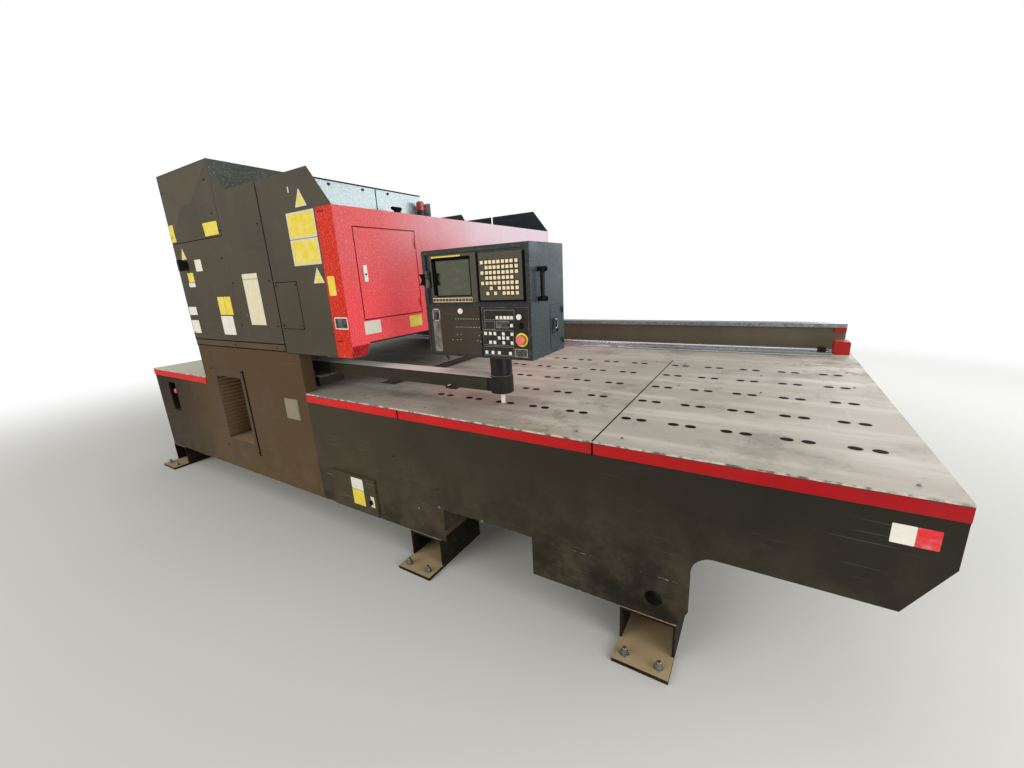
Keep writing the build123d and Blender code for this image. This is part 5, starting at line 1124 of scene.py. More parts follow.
@dataclass
class FrontSkirts(Assembly):
    """Skirts, small door, vent and edge strips below the table."""

    signs: SignShop
    face: float = -1.250
    door_face: float = -1.264
    door_top: float = 0.450
    strip_bottom: float = 0.875
    strip_top: float = 0.927
    frame_columns: Tuple[float, float] = (-1.562, -1.110)
    frame_rows: Tuple[float, float] = (0.375, 1.015)
    joints: Tuple[float, ...] = (0.481, 1.598)
    screws: Tuple[Tuple[float, float], ...] = ((0.711, 0.502), (0.397, 0.637))
    bright_screws: Tuple[Tuple[float, float], ...] = ((0.717, 0.394), (1.002, 0.391), (0.559, 0.346))
    bottom_edge: WornAndLitEdge = WornAndLitEdge(Axis.Z, 0.180, 0.010)
    column_low: Tuple[float, float] = (-0.600, 0.733)
    column_high: Tuple[float, float] = (-0.452, 0.879)
    cover_depth: float = 0.009
    plates: Tuple[Tuple[str, str, PlateSpec], ...] = (
        ("latch_plate", "skirt_door", PlateSpec((0.160, 0.252), (0.192, 0.326), "plate_cream")),
        ("end_plate_white", "machine", PlateSpec((2.540, 0.768), (2.597, 0.833), "plate_white")),
        ("end_plate_red", "machine", PlateSpec((2.597, 0.768), (2.652, 0.833), "plate_red")),
        ("door_plate_white", "skirt_door", PlateSpec((-0.004, 0.348), (0.104, 0.425), "plate_white")),
        ("door_plate_yellow", "skirt_door", PlateSpec((-0.004, 0.240), (0.104, 0.345))),
    )

    def finishes(self) -> None:
        """Dresses the skirts and strips."""
        p = self.palette
        # far darkens the skirt towards +X, partly a real change of tone and partly painted shade where the
        # light falls off; low_shade paints shade low down.
        skirt = SheetPaint(
            "front_skirt_coat", paint(64, 57, 43), dust_share=0.25, scuffs=0.5, far=paint(41, 38, 31),
            far_span=(-0.4, 2.4), edges=(self.bottom_edge, WornAndLitEdge(Axis.Z, 0.385, 0.008)), chips=0.35,
            low_shade=0.42, specular=0.1,
        )
        dress(skirt.material(), "front_skirt")
        # The door's top edge chips to a near-white under colour: worn edge and painted highlight together.
        door = SheetPaint(
            "skirt_door_coat", paint(63, 56, 43), dust_share=0.2, scuffs=0.5, chips=1.0, specular=0.1,
            under=paint(232, 222, 200), edges=(WornAndLitEdge(Axis.Z, self.door_top, 0.012),),
        )
        dress(door.material(), "skirt_door")
        # Faces set back behind the front, left of x = -2.2, go near black: painted shade in the recess.
        left = SheetPaint(
            "left_panel_coat", paint(50, 39, 27), dust_share=0.25, scuffs=0.5, recess_light_and_shade=paint(20, 17, 14),
            recess_light_and_shade_from=self.face + 0.004, recess_light_and_shade_right=-2.2, far=paint(84, 66, 45), far_span=(-2.5, -1.5),
            specular=0.07, edges=(self.bottom_edge,), chips=0.35,
        )
        dress(left.material(), "left_front_panel")
        dress(p["skirt_charcoal"], "rear_skirts")
        dress(p["vent_coat"], "vent_grille")
        # far darkens the strips towards +X, partly a real change of tone and partly painted shade where the
        # light falls off.
        strip = SheetPaint(
            "strip_red_coat", paint(212, 26, 26), far=paint(160, 12, 20), far_span=(-0.3, 2.7),
            under=paint(74, 62, 56), dust=paint(150, 96, 84), dust_share=0.12, dust_top=1.4, scuffs=0.5,
            chips=0.95, roughness=0.4,
            edges=(WornAndLitEdge(Axis.Z, self.strip_top, 0.013), WornAndLitEdge(Axis.Z, self.strip_bottom, 0.008)),
        )
        dress(strip.material(), "edge_strips")
        dress(p["black_moulding"], "skirt_door_latch")
        dress(p["stop_red"], "left_stop_button")

    def fittings(self) -> None:
        """Fixes the plates and screws."""
        slot = "charcoal_paint"
        self.signs.screws([(x, self.face, z) for x, z in self.screws], Facing.FRONT, 0.0055, "skirt_screws",
                          "machine", slot)
        self.signs.screws([(x, self.face, z) for x, z in self.bright_screws], Facing.FRONT, 0.008,
                          "bright_screws", "machine", slot, "zinc_fastener")
        for name, body, spec in self.plates:
            depth = self.door_face if body == "skirt_door" else self.face
            self.signs.plate(spec, Facing.FRONT, depth, name, body, slot)
        low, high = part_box("vent_grille")
        frame_screws = [(x, low[1], z) for x in self.frame_columns for z in self.frame_rows]
        self.signs.screws(frame_screws, Facing.FRONT, 0.0062, "vent_frame_screws", "machine", "vent_dark")
        # Black strip along the right side of the vent frame: painted shade of the frame's edge.
        edge_shade = cuboid((high[0] - 0.006, low[1] - 0.0012, self.frame_rows[0] - 0.022),
                      (high[0] + 0.006, self.face, self.frame_rows[1] + 0.012))
        ease(edge_shade, 0.0008, along(Axis.Z))
        self.fit(edge_shade, "vent_edge_shade", "vent_dark", "joint_black")

    def column_cover(self) -> Piece:
        """Pale shallow cover on the front of the column."""
        (left, bottom), (right, top) = self.column_low, self.column_high
        cover = cuboid((left, self.face - self.cover_depth, bottom), (right, self.face, top))
        ease(cover, 0.004, short_of(Axis.Y, self.face - 0.004))
        return self.fit(cover, "column_cover", "charcoal_paint", "cover_olive")

    def strip_joints(self) -> Piece:
        """Dark joint pieces between the red edge strips."""
        joint = cuboid((-0.0035, -0.001, self.strip_bottom), (0.0035, 0.0025, self.strip_top))
        ease(joint, 0.0008, along(Axis.Z))
        places = [Matrix.Translation((x, self.face - 0.0062, 0)) for x in self.joints]
        return self.fit(repeat(joint, places), "strip_joints", "strip_red", "joint_black")

    def build(self) -> None:
        """Builds the whole sub-assembly."""
        self.finishes()
        self.fittings()
        self.column_cover()
        self.strip_joints()


@dataclass
class Tower(Assembly):
    """Resonator tower and middle block with their plates, screws and isolator."""

    signs: SignShop
    face: float = -1.255
    pressed_low: Tuple[float, float] = (-1.681, 1.966)
    pressed_high: Tuple[float, float] = (-0.9655, 2.407)
    pressed_rise: float = 0.012
    pressed_slope: float = 0.4
    screws: Tuple[Tuple[float, float], ...] = (
        (-1.024, 2.301), (-1.020, 2.097), (-0.961, 1.985), (-0.515, 1.983), (-1.016, 1.814), (-0.942, 1.648),
        (-0.504, 1.648), (-0.942, 1.367), (-0.506, 1.364), (-1.660, 2.301), (-1.660, 2.000), (-1.660, 1.300),
    )
    ledge_screws: Tuple[Tuple[float, float], ...] = ((-1.095, 1.222), (-0.568, 1.222))
    joints: Tuple[Tuple[float, float, float, float], ...] = (
        (-0.470, -0.460, 1.205, 2.190), (-1.690, -0.468, 1.2445, 1.2515), (-1.690, -0.468, 1.1985, 1.2045),
    )
    filler: Tuple[float, float, float, float] = (-0.9556, -0.9504, 1.2505, 1.952)
    plates: Tuple[Tuple[str, PlateSpec], ...] = (
        ("plate_top_left", PlateSpec((-1.683, 1.966), (-1.612, 2.084))),
        ("plate_top_mid", PlateSpec((-1.168, 1.966), (-0.985, 2.049))),
        ("plate_isolator_peak", PlateSpec((-1.600, 1.838), (-1.520, 1.918), border=0.005, sides=3)),
        ("plate_isolator_side", PlateSpec((-1.415, 1.746), (-1.320, 1.827), "plate_white")),
        ("plate_isolator_low", PlateSpec((-1.567, 1.675), (-1.479, 1.741))),
        ("plate_isolator_tag", PlateSpec((-1.578, 1.639), (-1.482, 1.671), "plate_white")),
        ("plate_left_upper", PlateSpec((-1.680, 1.433), (-1.558, 1.494), "plate_white")),
        ("plate_left_lower", PlateSpec((-1.683, 1.294), (-1.564, 1.393), "plate_white")),
        ("plate_pair_left", PlateSpec((-1.203, 1.435), (-1.115, 1.561))),
        ("plate_pair_right", PlateSpec((-1.111, 1.435), (-1.023, 1.561))),
        ("plate_pair_low", PlateSpec((-1.208, 1.294), (-1.042, 1.427), "plate_white")),
        ("plate_tall", PlateSpec((-0.812, 1.370), (-0.632, 1.665), "plate_cream", border=0.004)),
        ("plate_tall_head", PlateSpec((-0.812, 1.667), (-0.632, 1.701), "plate_cream", border=0.004)),
    )

    def crease(self, x: float, z: float) -> float:
        """How far the cross-broken top panel stands proud of the tower front."""
        (left, bottom), (right, top) = self.pressed_low, self.pressed_high
        run = (right - left) * self.pressed_slope
        half = (top - bottom) / 2
        share = min((x - left) / run, (right - x) / run, (z - bottom) / half, (top - z) / half, 1.0)
        return self.pressed_rise * max(share, 0.0)

    def finishes(self) -> None:
        """Dresses the tower's sheets."""
        p = self.palette
        dress(p["tower_charcoal"], "left_upper_panel", "mid_front_panel", "pressed_panel", "rear_covers")
        dress(p["end_plate_slate"], "rear_end_plates")
        dress(p["housing_zinc_grey"], "resonator_housing")
        dress(p["ledge_coat"], "ledge_band")
        dress(p["satin_black"], "isolator_knob")
        dress(p["frame_coat"], "portal_frame", "laser_resonator")

    def fittings(self) -> None:
        """Fixes plates and screws on the tower."""
        slot = "charcoal_paint"
        for name, spec in self.plates:
            crease = self.crease if spec.low[1] >= self.pressed_low[1] else None
            self.signs.plate(spec, Facing.FRONT, self.face, name, "machine", slot, crease=crease)
        seats = [(x, self.face - self.crease(x, z), z) for x, z in self.screws]
        self.signs.screws(seats, Facing.FRONT, 0.0055, "tower_screws", "machine", slot)
        self.signs.screws([(x, self.face + 0.002, z) for x, z in self.ledge_screws], Facing.FRONT, 0.005,
                          "ledge_screws", "machine", slot)

    def joint_shades_and_filler(self) -> None:
        """Black bars in the wide joints, painted shade of the seams, and the flush filler of the joint that
        hardly shows.
        """
        bars = []
        for left, right, bottom, top in self.joints:
            bar = cuboid((left, self.face - 0.0006, bottom), (right, self.face + 0.0024, top))
            bars.append(ease(bar, 0.0005, short_of(Axis.Y, self.face)))
        # The bars are wider than the seam gaps: painted shade in the joints.
        self.fit(fuse(bars), "joint_shade_bars", "charcoal_paint", "joint_black")
        left, right, bottom, top = self.filler
        filler = cuboid((left, self.face + 0.0004, bottom), (right, self.face + 0.0025, top))
        ease(filler, 0.0004, along(Axis.Z))
        self.fit(filler, "joint_filler", "charcoal_paint", "tower_charcoal")

    def build(self) -> None:
        """Builds the whole sub-assembly."""
        self.finishes()
        self.fittings()
        self.joint_shades_and_filler()


@dataclass
class Bridge(Assembly):
    """Bridge end, red cover and its roof sheets."""

    signs: SignShop
    face: float = -1.255
    side: float = 0.192
    seam: float = -0.4645
    roof: float = 2.1545
    roof_wall: float = 0.050
    ledge: float = 1.998
    ledge_end: float = -0.530
    roof_rise: float = 2.212
    sheets: Tuple[Tuple[float, float], ...] = ((-1.252, -0.821), (-0.817, -0.430))
    wall_screws: Tuple[float, ...] = (-1.144, -0.915, -0.721)
    plates: Tuple[Tuple[str, PlateSpec], ...] = (
        ("plate_stack_upper", PlateSpec((-0.212, 1.863), (0.041, 2.004), border=0.010)),
        ("plate_stack_lower", PlateSpec((-0.212, 1.719), (0.041, 1.860), border=0.010)),
        ("plate_peak_upper", PlateSpec((-0.113, 2.025), (-0.008, 2.118), border=0.008, sides=3)),
        ("plate_peak_lower", PlateSpec((-0.059, 1.617), (0.040, 1.704), border=0.008, sides=3)),
    )
    return_plates: Tuple[Tuple[str, PlateSpec], ...] = (
        ("plate_return_upper", PlateSpec((0.067, 1.545), (0.127, 1.651), corner=0.009)),
        ("plate_return_lower",
         PlateSpec((0.072, 1.359), (0.184, 1.426), "plate_dark", border=0.006, corner=0.007)),
    )
    side_plates: Tuple[Tuple[str, PlateSpec], ...] = (
        ("plate_side_white", PlateSpec((-1.152, 1.315), (-1.033, 1.390), "plate_white")),
        ("plate_side_yellow", PlateSpec((-0.792, 1.313), (-0.680, 1.383))),
    )
    hatch_screws: Tuple[Tuple[float, float], ...] = (
        (-0.434, 1.615), (-0.236, 1.616), (-0.427, 1.372), (-0.239, 1.374),
    )
    return_columns: Tuple[float, ...] = (0.075, 0.096, 0.117)
    return_rows: Tuple[float, float] = (1.984, 1.290)
    hatch_line: float = 0.004
    door_line: float = 0.0065
    door_room: float = 0.005
    slot_cover: PlateSpec = PlateSpec((-0.157, 2.106), (-0.147, 2.137), "plate_edge", corner=0.002)
    lever_lock: Tuple[float, float] = (-1.097, 1.652)
    sheet: float = 0.002
    gland: Point = (0.130, -0.700, 2.040)
    gland_foot: Tuple[Tuple[float, float], Point] = ((0.118, -0.752), (0.142, -0.712, 2.034))
    bracket: Tuple[Tuple[float, float], Point] = ((0.070, -0.442), (0.150, -0.439, 2.100))

    def finishes(self) -> None:
        """Dresses the bridge's sheets."""
        p = self.palette
        dress(p["tower_charcoal"], "bridge_front_plate", "service_hatch")
        # The red cover's faces towards +X are painted light and shade: a pinker lit side, pale glare towards
        # the back and top, a lighter low front, and a darker flap below the crease.
        red = SheetPaint(
            "cover_red", p.red, under=paint(238, 190, 178), dust=paint(226, 120, 96), dust_share=0.08,
            dust_top=2.2, scuffs=0.3, shade=0.08, roughness=0.42, side=paint(216, 88, 90),
            side_far=paint(218, 194, 202), side_span=(-1.15, 0.35), high_span=(1.62, 1.93),
            side_low_lit=paint(255, 84, 90), hem_shade=paint(168, 22, 32), hem_shade_top=1.259, speckle=0.13, specular=0.1,
        )
        dress(red.material(), "red_side_cover", "side_door")
        dress(p["cap_white"], "side_door_handle")
        dress(p["black_moulding"], "beacon_base")
        dress(LampLens("lens_red").material(), "beacon_lens")

    def fittings(self) -> None:
        """Fixes plates and screws on the bridge."""
        for name, spec in self.plates:
            self.signs.plate(spec, Facing.FRONT, self.face, name, "machine", "charcoal_paint")
        for name, spec in self.return_plates:
            self.signs.plate(spec, Facing.FRONT, self.face, name, "machine", "red_paint", "plate_white")
        for name, spec in self.side_plates:
            self.signs.plate(spec, Facing.RIGHT, self.side, name, "machine", "red_paint")
        hatch = [(x, self.face - 0.002, z) for x, z in self.hatch_screws]
        self.signs.screws(hatch, Facing.FRONT, 0.0055, "hatch_screws", "machine", "charcoal_paint")
        rows = [(x, self.face, z) for x in self.return_columns for z in self.return_rows]
        self.signs.screws(rows, Facing.FRONT, 0.0045, "return_screws", "machine", "red_paint")
        # Dark red band round the side door: painted shade of its gap.
        low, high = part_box("side_door")
        room = self.door_room
        gap = PlateSpec((low[1] - room, low[2] - room), (high[1] + room, high[2] + room))
        self.signs.frame(gap, self.door_line, Facing.RIGHT, self.side, "side_door_gap_shade", "machine",
                         "red_paint", "gap_shade_red")
        low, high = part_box("service_hatch")
        wide = self.hatch_line
        outline = PlateSpec((low[0] - wide, low[2] - wide), (high[0] + wide, high[2] + wide), corner=0.004)
        self.signs.frame(outline, 2 * wide, Facing.FRONT, self.face, "hatch_outline", "machine",
                         "charcoal_paint", "joint_black")
        self.signs.plate(self.slot_cover, Facing.FRONT, self.face, "slot_cover", "machine", "charcoal_paint")
        lock = ease(turned(0.006, 0.0, 0.003), 0.001, past(Axis.Z, 0.002))
        lock.data.transform(Facing.RIGHT.at((self.side + 0.007, *self.lever_lock)))
        install(lock, "lever_lock", "side_door_handle", "red_paint", self.palette["dark_fastener"])

    def shoulder_covers(self) -> None:
        """Two bare zinc covers on the bridge: riser, roof, upright wall and the ledge it stands on."""
        rise, roof, wall, thick = self.roof_rise, self.roof, self.roof_wall, self.sheet
        pieces = []
        for start, end in self.sheets:
            cover = cuboid((self.seam, start, roof - thick), (wall, end, roof))
            with editing(cover):
                pick(cover, "FACE", facing((1, 0, 0)))
                bpy.ops.mesh.extrude_region_move(TRANSFORM_OT_translate={"value": (thick, 0, 0)})
                pick(cover, "FACE", lambda middle, normal: normal.z < -0.9 and middle.x > wall)
                drop = self.ledge - roof + thick
                bpy.ops.mesh.extrude_region_move(TRANSFORM_OT_translate={"value": (0, 0, drop)})
            ease(cover, 0.003, lambda middle, direction: abs(direction.y) > 0.9 and middle.z > roof - 0.001
                 and middle.x > wall)
            riser = cuboid((self.seam, start, roof), (self.seam + thick, end, rise))
            ease(riser, 0.0006, past(Axis.Z, rise - 0.001))
            pieces.append(fuse([cover, riser]))
        front, middle_gap = self.sheets[0][0], (self.sheets[0][1] + self.sheets[1][0]) / 2
        ledge = cuboid((wall + thick, front, self.ledge - thick),
                       (self.side - 0.004, self.ledge_end, self.ledge))
        pieces.append(ease(ledge, 0.0006, past(Axis.Z, self.ledge - 0.001)))
        covers = self.fit(fuse(pieces), "shoulder_covers", "galvanised", "bridge_zinc")
        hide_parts("top_covers")
        edge = cuboid((wall - 0.004, front, roof - 0.001), (wall + 0.005, self.sheets[1][1], roof + 0.006))
        ease(edge, 0.002, past(Axis.Z, roof))
        joint = cuboid((wall - 0.002, middle_gap - 0.004, self.ledge),
                       (wall + 0.0026, middle_gap + 0.004, roof))
        ease(joint, 0.001, past(Axis.X, wall))
        self.fit(fuse([edge, joint]), "shoulder_edge_seal", "galvanised", "joint_black")
        screws = [(wall + thick, y, roof - 0.018) for y in self.wall_screws]
        self.signs.screws(screws, Facing.RIGHT, 0.0075, "shoulder_screws", "machine", "galvanised")

    def beacon_fittings(self) -> None:
        """Cable gland in front of the beacon, and the folded bracket behind it."""
        gland = turned(0.011, 0.0, 0.066, 16)
        step_in(gland, facing((0, 0, 1)), 0.003, 0.010)
        ease(gland, 0.002, short_of(Axis.Z, 0.001))
        gland.data.transform(Matrix.Translation(self.gland) @ Matrix.Rotation(math.pi / 2, 4, "X"))
        foot = cuboid((*self.gland_foot[0], self.ledge), self.gland_foot[1])
        ease(foot, 0.003, past(Axis.Z, 2.0))
        self.fit(fuse([gland, foot]), "beacon_gland", "pendant_black", "joint_black")
        bracket = cuboid((*self.bracket[0], self.ledge), self.bracket[1])
        with editing(bracket):
            pick(bracket, "FACE", lambda middle, normal: normal.y > 0.9)
            bpy.ops.mesh.inset(thickness=0.012, depth=0.0)
            bpy.ops.mesh.extrude_region_move(TRANSFORM_OT_translate={"value": (0, 0.004, 0)})
        ease(bracket, 0.010, lambda middle, direction: abs(direction.y) > 0.9 and middle.z > 2.09
             and middle.y < -0.4395)
        self.fit(bracket, "beacon_bracket", "galvanised", "bridge_zinc")

    def build(self) -> None:
        """Builds the whole sub-assembly."""
        self.finishes()
        self.fittings()
        self.shoulder_covers()
        self.beacon_fittings()


@dataclass
class SheetTable(Assembly):
    """Slotted table plates, brushes, grate, deck and guard."""

    signs: SignShop
    modules: Tuple[float, ...] = (0.481, 1.598)
    top: float = 0.935
    first_row: float = -0.935
    row_pitch: float = 0.296
    rows: int = 5
    pair_pitch: float = 0.209
    pair_gap: float = 0.070
    pairs: int = 5
    first_slot: float = 0.046
    collar: Tuple[float, float] = (0.046, 0.036)
    tufts_across: int = 7
    tuft_pitch: Tuple[float, float] = (0.0052, 0.0062)
    plate_screws: Tuple[Tuple[float, float], ...] = (
        (1.762, -0.283), (2.171, -0.285), (2.165, 0.102), (2.593, -0.020), (0.620, -1.180), (1.500, -1.180),
        (1.700, -1.180), (2.600, -1.180), (0.620, 0.330), (1.500, 0.330), (1.700, 0.330), (2.600, 0.330),
    )

    def slots(self) -> List[Tuple[float, float]]:
        """Centre of every slot."""
        return [
            (start + self.first_slot + pair * self.pair_pitch + half * self.pair_gap,
             self.first_row + row * self.row_pitch)
            for start in self.modules
            for row in range(self.rows)
            for pair in range(self.pairs)
            for half in (0, 1)
        ]

    def bristles(self) -> Piece:
        """Tufts that stand in the slots, a shade below the plate."""
        tufts = []
        across, (pitch_x, pitch_y) = self.tufts_across, self.tuft_pitch
        for number in range(2 * across):
            tuft = turned(0.0021, -0.0075, 0.0006, 5, 0.0012)
            lean = math.sin(number * 2.3) * 0.12
            place = ((number % across - across // 2) * pitch_x, (number // across - 0.5) * pitch_y, 0)
            tuft.data.transform(Matrix.Translation(place) @ Matrix.Rotation(lean, 4, "X"))
            tufts.append(tuft)
        places = [Facing.UP.at((x, y, self.top), math.pi * (number % 2))
                  for number, (x, y) in enumerate(self.slots())]
        return install(repeat(fuse(tufts), places), "slot_bristles", "machine", "brush_black",
                       BristleFibre("bristle_fibre").material())

    def collars(self) -> Piece:
        """Thin black rings round the slots, flush with the plate but for their thin lips: painted shade of
        the slot holes.
        """
        collar = turned(0.5, 0.0, 0.0007, 20)
        step_in(collar, facing((0, 0, 1)), 0.04, 0.0)
        size = Matrix.Diagonal((*self.collar, 1.0, 1.0))
        places = [Facing.UP.at((x, y, self.top)) @ size for x, y in self.slots()]
        return self.fit(repeat(collar, places), "slot_shade_rings", "brush_black", "joint_black")

    def plate_gap(self) -> Piece:
        """Dark filler in the gap between the two slotted plates."""
        low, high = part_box("table_modules")
        gap = cuboid((self.modules[1] - 0.0035, low[1] + 0.002, self.top - 0.003),
                     (self.modules[1] + 0.0035, high[1] - 0.002, self.top + 0.0005))
        ease(gap, 0.0004, past(Axis.Z, self.top))
        return self.fit(gap, "plate_gap", "worn_table", "joint_black")

    def build(self) -> None:
        """Dresses the table and fixes its bristles and screws."""
        p = self.palette
        steel = TableSteel("table_plate_steel").material()
        dress(steel, "table_modules", "table_middle", "rear_deck")
        dress(p["brush_block"], "brush_inserts")
        dress(p["burnt_plate"], "cutting_grate")
        dress(p["guard_charcoal"], "rear_guard")
        dress(p["guard_zinc"], "rear_guard_lid")
        block = SheetPaint("block_red_coat", paint(176, 36, 34), dust_share=0.3, dust_top=1.4).material()
        dress(block, "red_end_blocks")
        self.bristles()
        self.collars()
        self.plate_gap()
        places = [(x, y, self.top) for x, y in self.plate_screws]
        self.signs.screws(places, Facing.UP, 0.0065, "table_screws", "machine", "worn_table", "zinc_fastener")


@dataclass
class Drives(Assembly):
    """Feed axis, head axis, clamps and cutting head."""

    bolt_pitch: float = 0.12
    feed_bolts: int = 42
    feed_start: float = -2.46
    feed_rows: Tuple[float, float] = (0.830, 1.000)
    feed_top: float = 0.965
    head_bolts: int = 14
    head_start: float = -1.04
    head_rows: Tuple[float, float] = (1.450, 1.800)
    head_face: float = -0.150

    def rail_bolts(self) -> Piece:
        """Counterbored bolts along the feed rails and the head rails."""
        bolt = turned(0.0055, -0.0005, 0.0008, 14)
        step_in(bolt, facing((0, 0, 1)), 0.0022, -0.0010)
        places = [Facing.UP.at((self.feed_start + self.bolt_pitch * step, y, self.feed_top))
                  for step in range(self.feed_bolts) for y in self.feed_rows]
        places += [Facing.RIGHT.at((self.head_face, self.head_start + self.bolt_pitch * step, z))
                   for step in range(self.head_bolts) for z in self.head_rows]
        return self.fit(repeat(bolt, places), "rail_bolts", "rail_steel", "dark_fastener")

    def build(self) -> None:
        """Dresses the drives."""
        p = self.palette
        dress(p["ground_rail"], "linear_rails", "x_ball_screw", "y_ball_screw")
        dress(p["satin_black"], "axis_motors")
        dress(p["carriage_coat"], "x_carriage", "clamp_bodies", "y_carriage")
        dress(p["machined_steel"], "clamp_jaw_left", "clamp_jaw_right", "cutting_head")
        dress(p["turned_copper"], "nozzle")
        self.rail_bolts()


@dataclass
class Pendant(Assembly):
    """Control pendant on its swing arm."""

    body: ClassVar[str] = "pendant"
    signs: SignShop
    left: float = 0.603
    right: float = 1.239
    front: float = -1.071
    bottom: float = 1.209
    top: float = 1.748
    split: float = 1.470
    sleeve_left: float = 0.949
    tip_top: float = 1.0165
    seam: float = 0.951
    panel: float = front + 0.003
    keyboard_left: float = 0.980
    keyboard_top: float = 1.670
    key_columns: Tuple[float, ...] = (0, 0.026, 0.048, 0.071, 0.094, 0.119, 0.142, 0.165, 0.191)
    key_pitch: float = 0.024
    key_field: Tuple[int, int] = (7, 5)
    caps: Tuple[Tuple[Tuple[float, ...], float], ...] = (
        ((1.05, 1.073, 1.094, 1.113, 1.132), 1.411),
        ((1.13,), 1.374),
        ((0.977, 1.005, 1.032, 1.081, 1.13), 1.333),
        ((1.056, 1.08, 1.105), 1.313),
        ((1.003, 1.029, 1.081, 1.128), 1.29),
        ((0.977, 1.014, 1.051, 1.115), 1.239),
    )
    single_lamps: Tuple[Tuple[float, float], ...] = (
        (0.798, 1.322), (0.822, 1.323), (0.764, 1.294), (0.795, 1.295), (0.819, 1.296),
        (0.935, 1.32), (0.922, 1.294), (0.941, 1.291),
    )
    group_frames: Tuple[PlateSpec, ...] = (
        PlateSpec((0.974, 1.400), (1.146, 1.447)),
        PlateSpec((0.974, 1.352), (1.032, 1.394)),
        PlateSpec((0.962, 1.275), (1.136, 1.351)),
        PlateSpec((0.962, 1.226), (1.136, 1.269)),
    )
    display: PlateSpec = PlateSpec((1.041, 1.361), (1.114, 1.395), "plate_dark", border=0.0015)
    socket_cover: PlateSpec = PlateSpec((1.141, 1.223), (1.210, 1.263), "socket_grey", border=0.003)
    key_switch: PlateSpec = PlateSpec((left + 0.039, bottom + 0.183), (left + 0.087, bottom + 0.245),
                                      "plate_dark", border=0.003, corner=0.012)
    worn_strip: PlateSpec = PlateSpec((left + 0.037, bottom + 0.019), (left + 0.087, bottom + 0.183),
                                      "strip_grey", corner=0.004)
    trim: PlateSpec = PlateSpec((left + 0.064, top - 0.040), (left + 0.250, top - 0.033), "collar_yellow",
                                corner=0.001)
    cap: Point = (0.0072, 0.0078, 0.0050)
    soft_key: Point = (0.0092, 0.0075, 0.0022)
    well: Point = (0.0108, 0.0108, 0.0009)
    soft_keys: int = 12
    soft_key_lift: float = 0.0006
    soft_key_row_height: float = split + 0.0285
    recess_bars: Tuple[Span, ...] = (
        ((0.666, 1.521), (0.691, 1.7045)), ((0.666, 1.692), (0.912, 1.7045)),
        ((0.9455, 1.487), (0.9585, 1.712)), ((1.2005, 1.487), (1.211, 1.712)),
        ((0.958, 1.485), (1.211, 1.4945)),
    )
    display_filler: Span = ((0.929, 1.486), (0.946, 1.723))
    clip_bar: Span = ((0.629, 1.562), (0.646, 1.648))
    white_knob: Tuple[float, float] = (0.829, 1.442)
    lamp_start: float = 0.795
    lamp_pitch: float = 0.016
    lamp_columns: int = 10
    lamp_rows: Tuple[float, float] = (1.403, 1.361)
    hook: Point = (right + 0.008, -0.828, 1.350)
    stop_ring: float = 0.033
    grip: float = 0.0115
    grip_bend: float = 0.020
    clips: Tuple[Tuple[float, float, float], ...] = ((0.608, 0.026, 1.605), (0.693, 0.018, 1.604))
    clip_half_height: float = 0.029
    clip_waist: float = 0.35
    knob_radii: Tuple[float, float] = (0.0145, 0.0132)
    knob_height: float = 0.007
    latch_plate: Span = ((-0.858, 1.306), (-0.800, 1.382))
    latch_thickness: float = 0.004
    hook_radii: Tuple[float, float] = (0.017, 0.0028)
    hook_stretch: float = 0.012
    pin_radius: float = 0.011
    pin_length: float = 0.036
    stop_seat: Tuple[float, float] = (right - 0.057, bottom + 0.098)
    lamp_radius: float = 0.0022
    lamp_height: float = 0.0012

    def finishes(self) -> None:
        """Dresses the CAD nodes of the arm and pendant."""
        p = self.palette
        side = paint(46, 57, 61)
        case = SheetPaint("pendant_coat", paint(34, 40, 40), under=paint(120, 130, 134),
                          dust=paint(116, 112, 102), dust_share=0.2, dust_top=1.9, scuffs=0.45,
                          roughness=0.42, side=side, side_far=side, speckle=0.06).material()
        dress(case, "pendant_housing", "side_hatch")
        # The near-white top is pale dust together with painted light on the arm's upper faces; the black
        # beyond sleeve_left is the sleeve's own colour.
        arm = SheetPaint("arm_coat", paint(50, 47, 37), dust_share=0.2, dust_top=1.6, far=paint(17, 18, 19),
                         far_span=(self.sleeve_left, self.sleeve_left + 0.002), top=paint(250, 246, 236),
                         specular=0.1).material()
        dress(arm, "swing_arm", "arm_pivot")
        dress(Moulding("post_black", paint(17, 18, 19), roughness=0.34, specular=0.25, dirt_share=0.06,
                       tip=paint(226, 218, 196), tip_top=self.tip_top).material(), "pendant_post")
        dress(p["satin_black"], "mode_selector")
        dress(p["bezel_brown"], "front_bezels")
        dress(ScreenGlass("display_glass").material(), "screen_glass")
        dress(p["cap_cream"], "key_mat")
        panel = SheetPaint("switch_face_coat", paint(56, 45, 32), dust=paint(92, 80, 62), dust_share=0.3,
                           dust_top=1.9, scuffs=0.5, roughness=0.38, far=paint(36, 33, 28),
                           far_span=(self.seam, self.seam + 0.004)).material()
        dress(panel, "switch_panel")
        dress(p["pink_stop"], "e_stop_button")
        dress(p["cap_white"], "start_button")

    def slab(self, span: Span, near: float, far: float) -> Piece:
        """Upright block on the pendant's front, between two depths behind it."""
        (x0, z0), (x1, z1) = span
        return cuboid((x0, self.front + near, z0), (x1, self.front + far, z1))

    def square_caps(self) -> Piece:
        """White push-key caps on the right of the lower panel."""
        cap = ease(tile(self.cap), 0.0012, past(Axis.Z, self.cap[2] * 0.9))
        places = [Facing.FRONT.at((x, self.panel, z)) for columns, z in self.caps for x in columns]
        return self.fit(repeat(cap, places), "panel_key_caps", "key_grey", "cap_white")

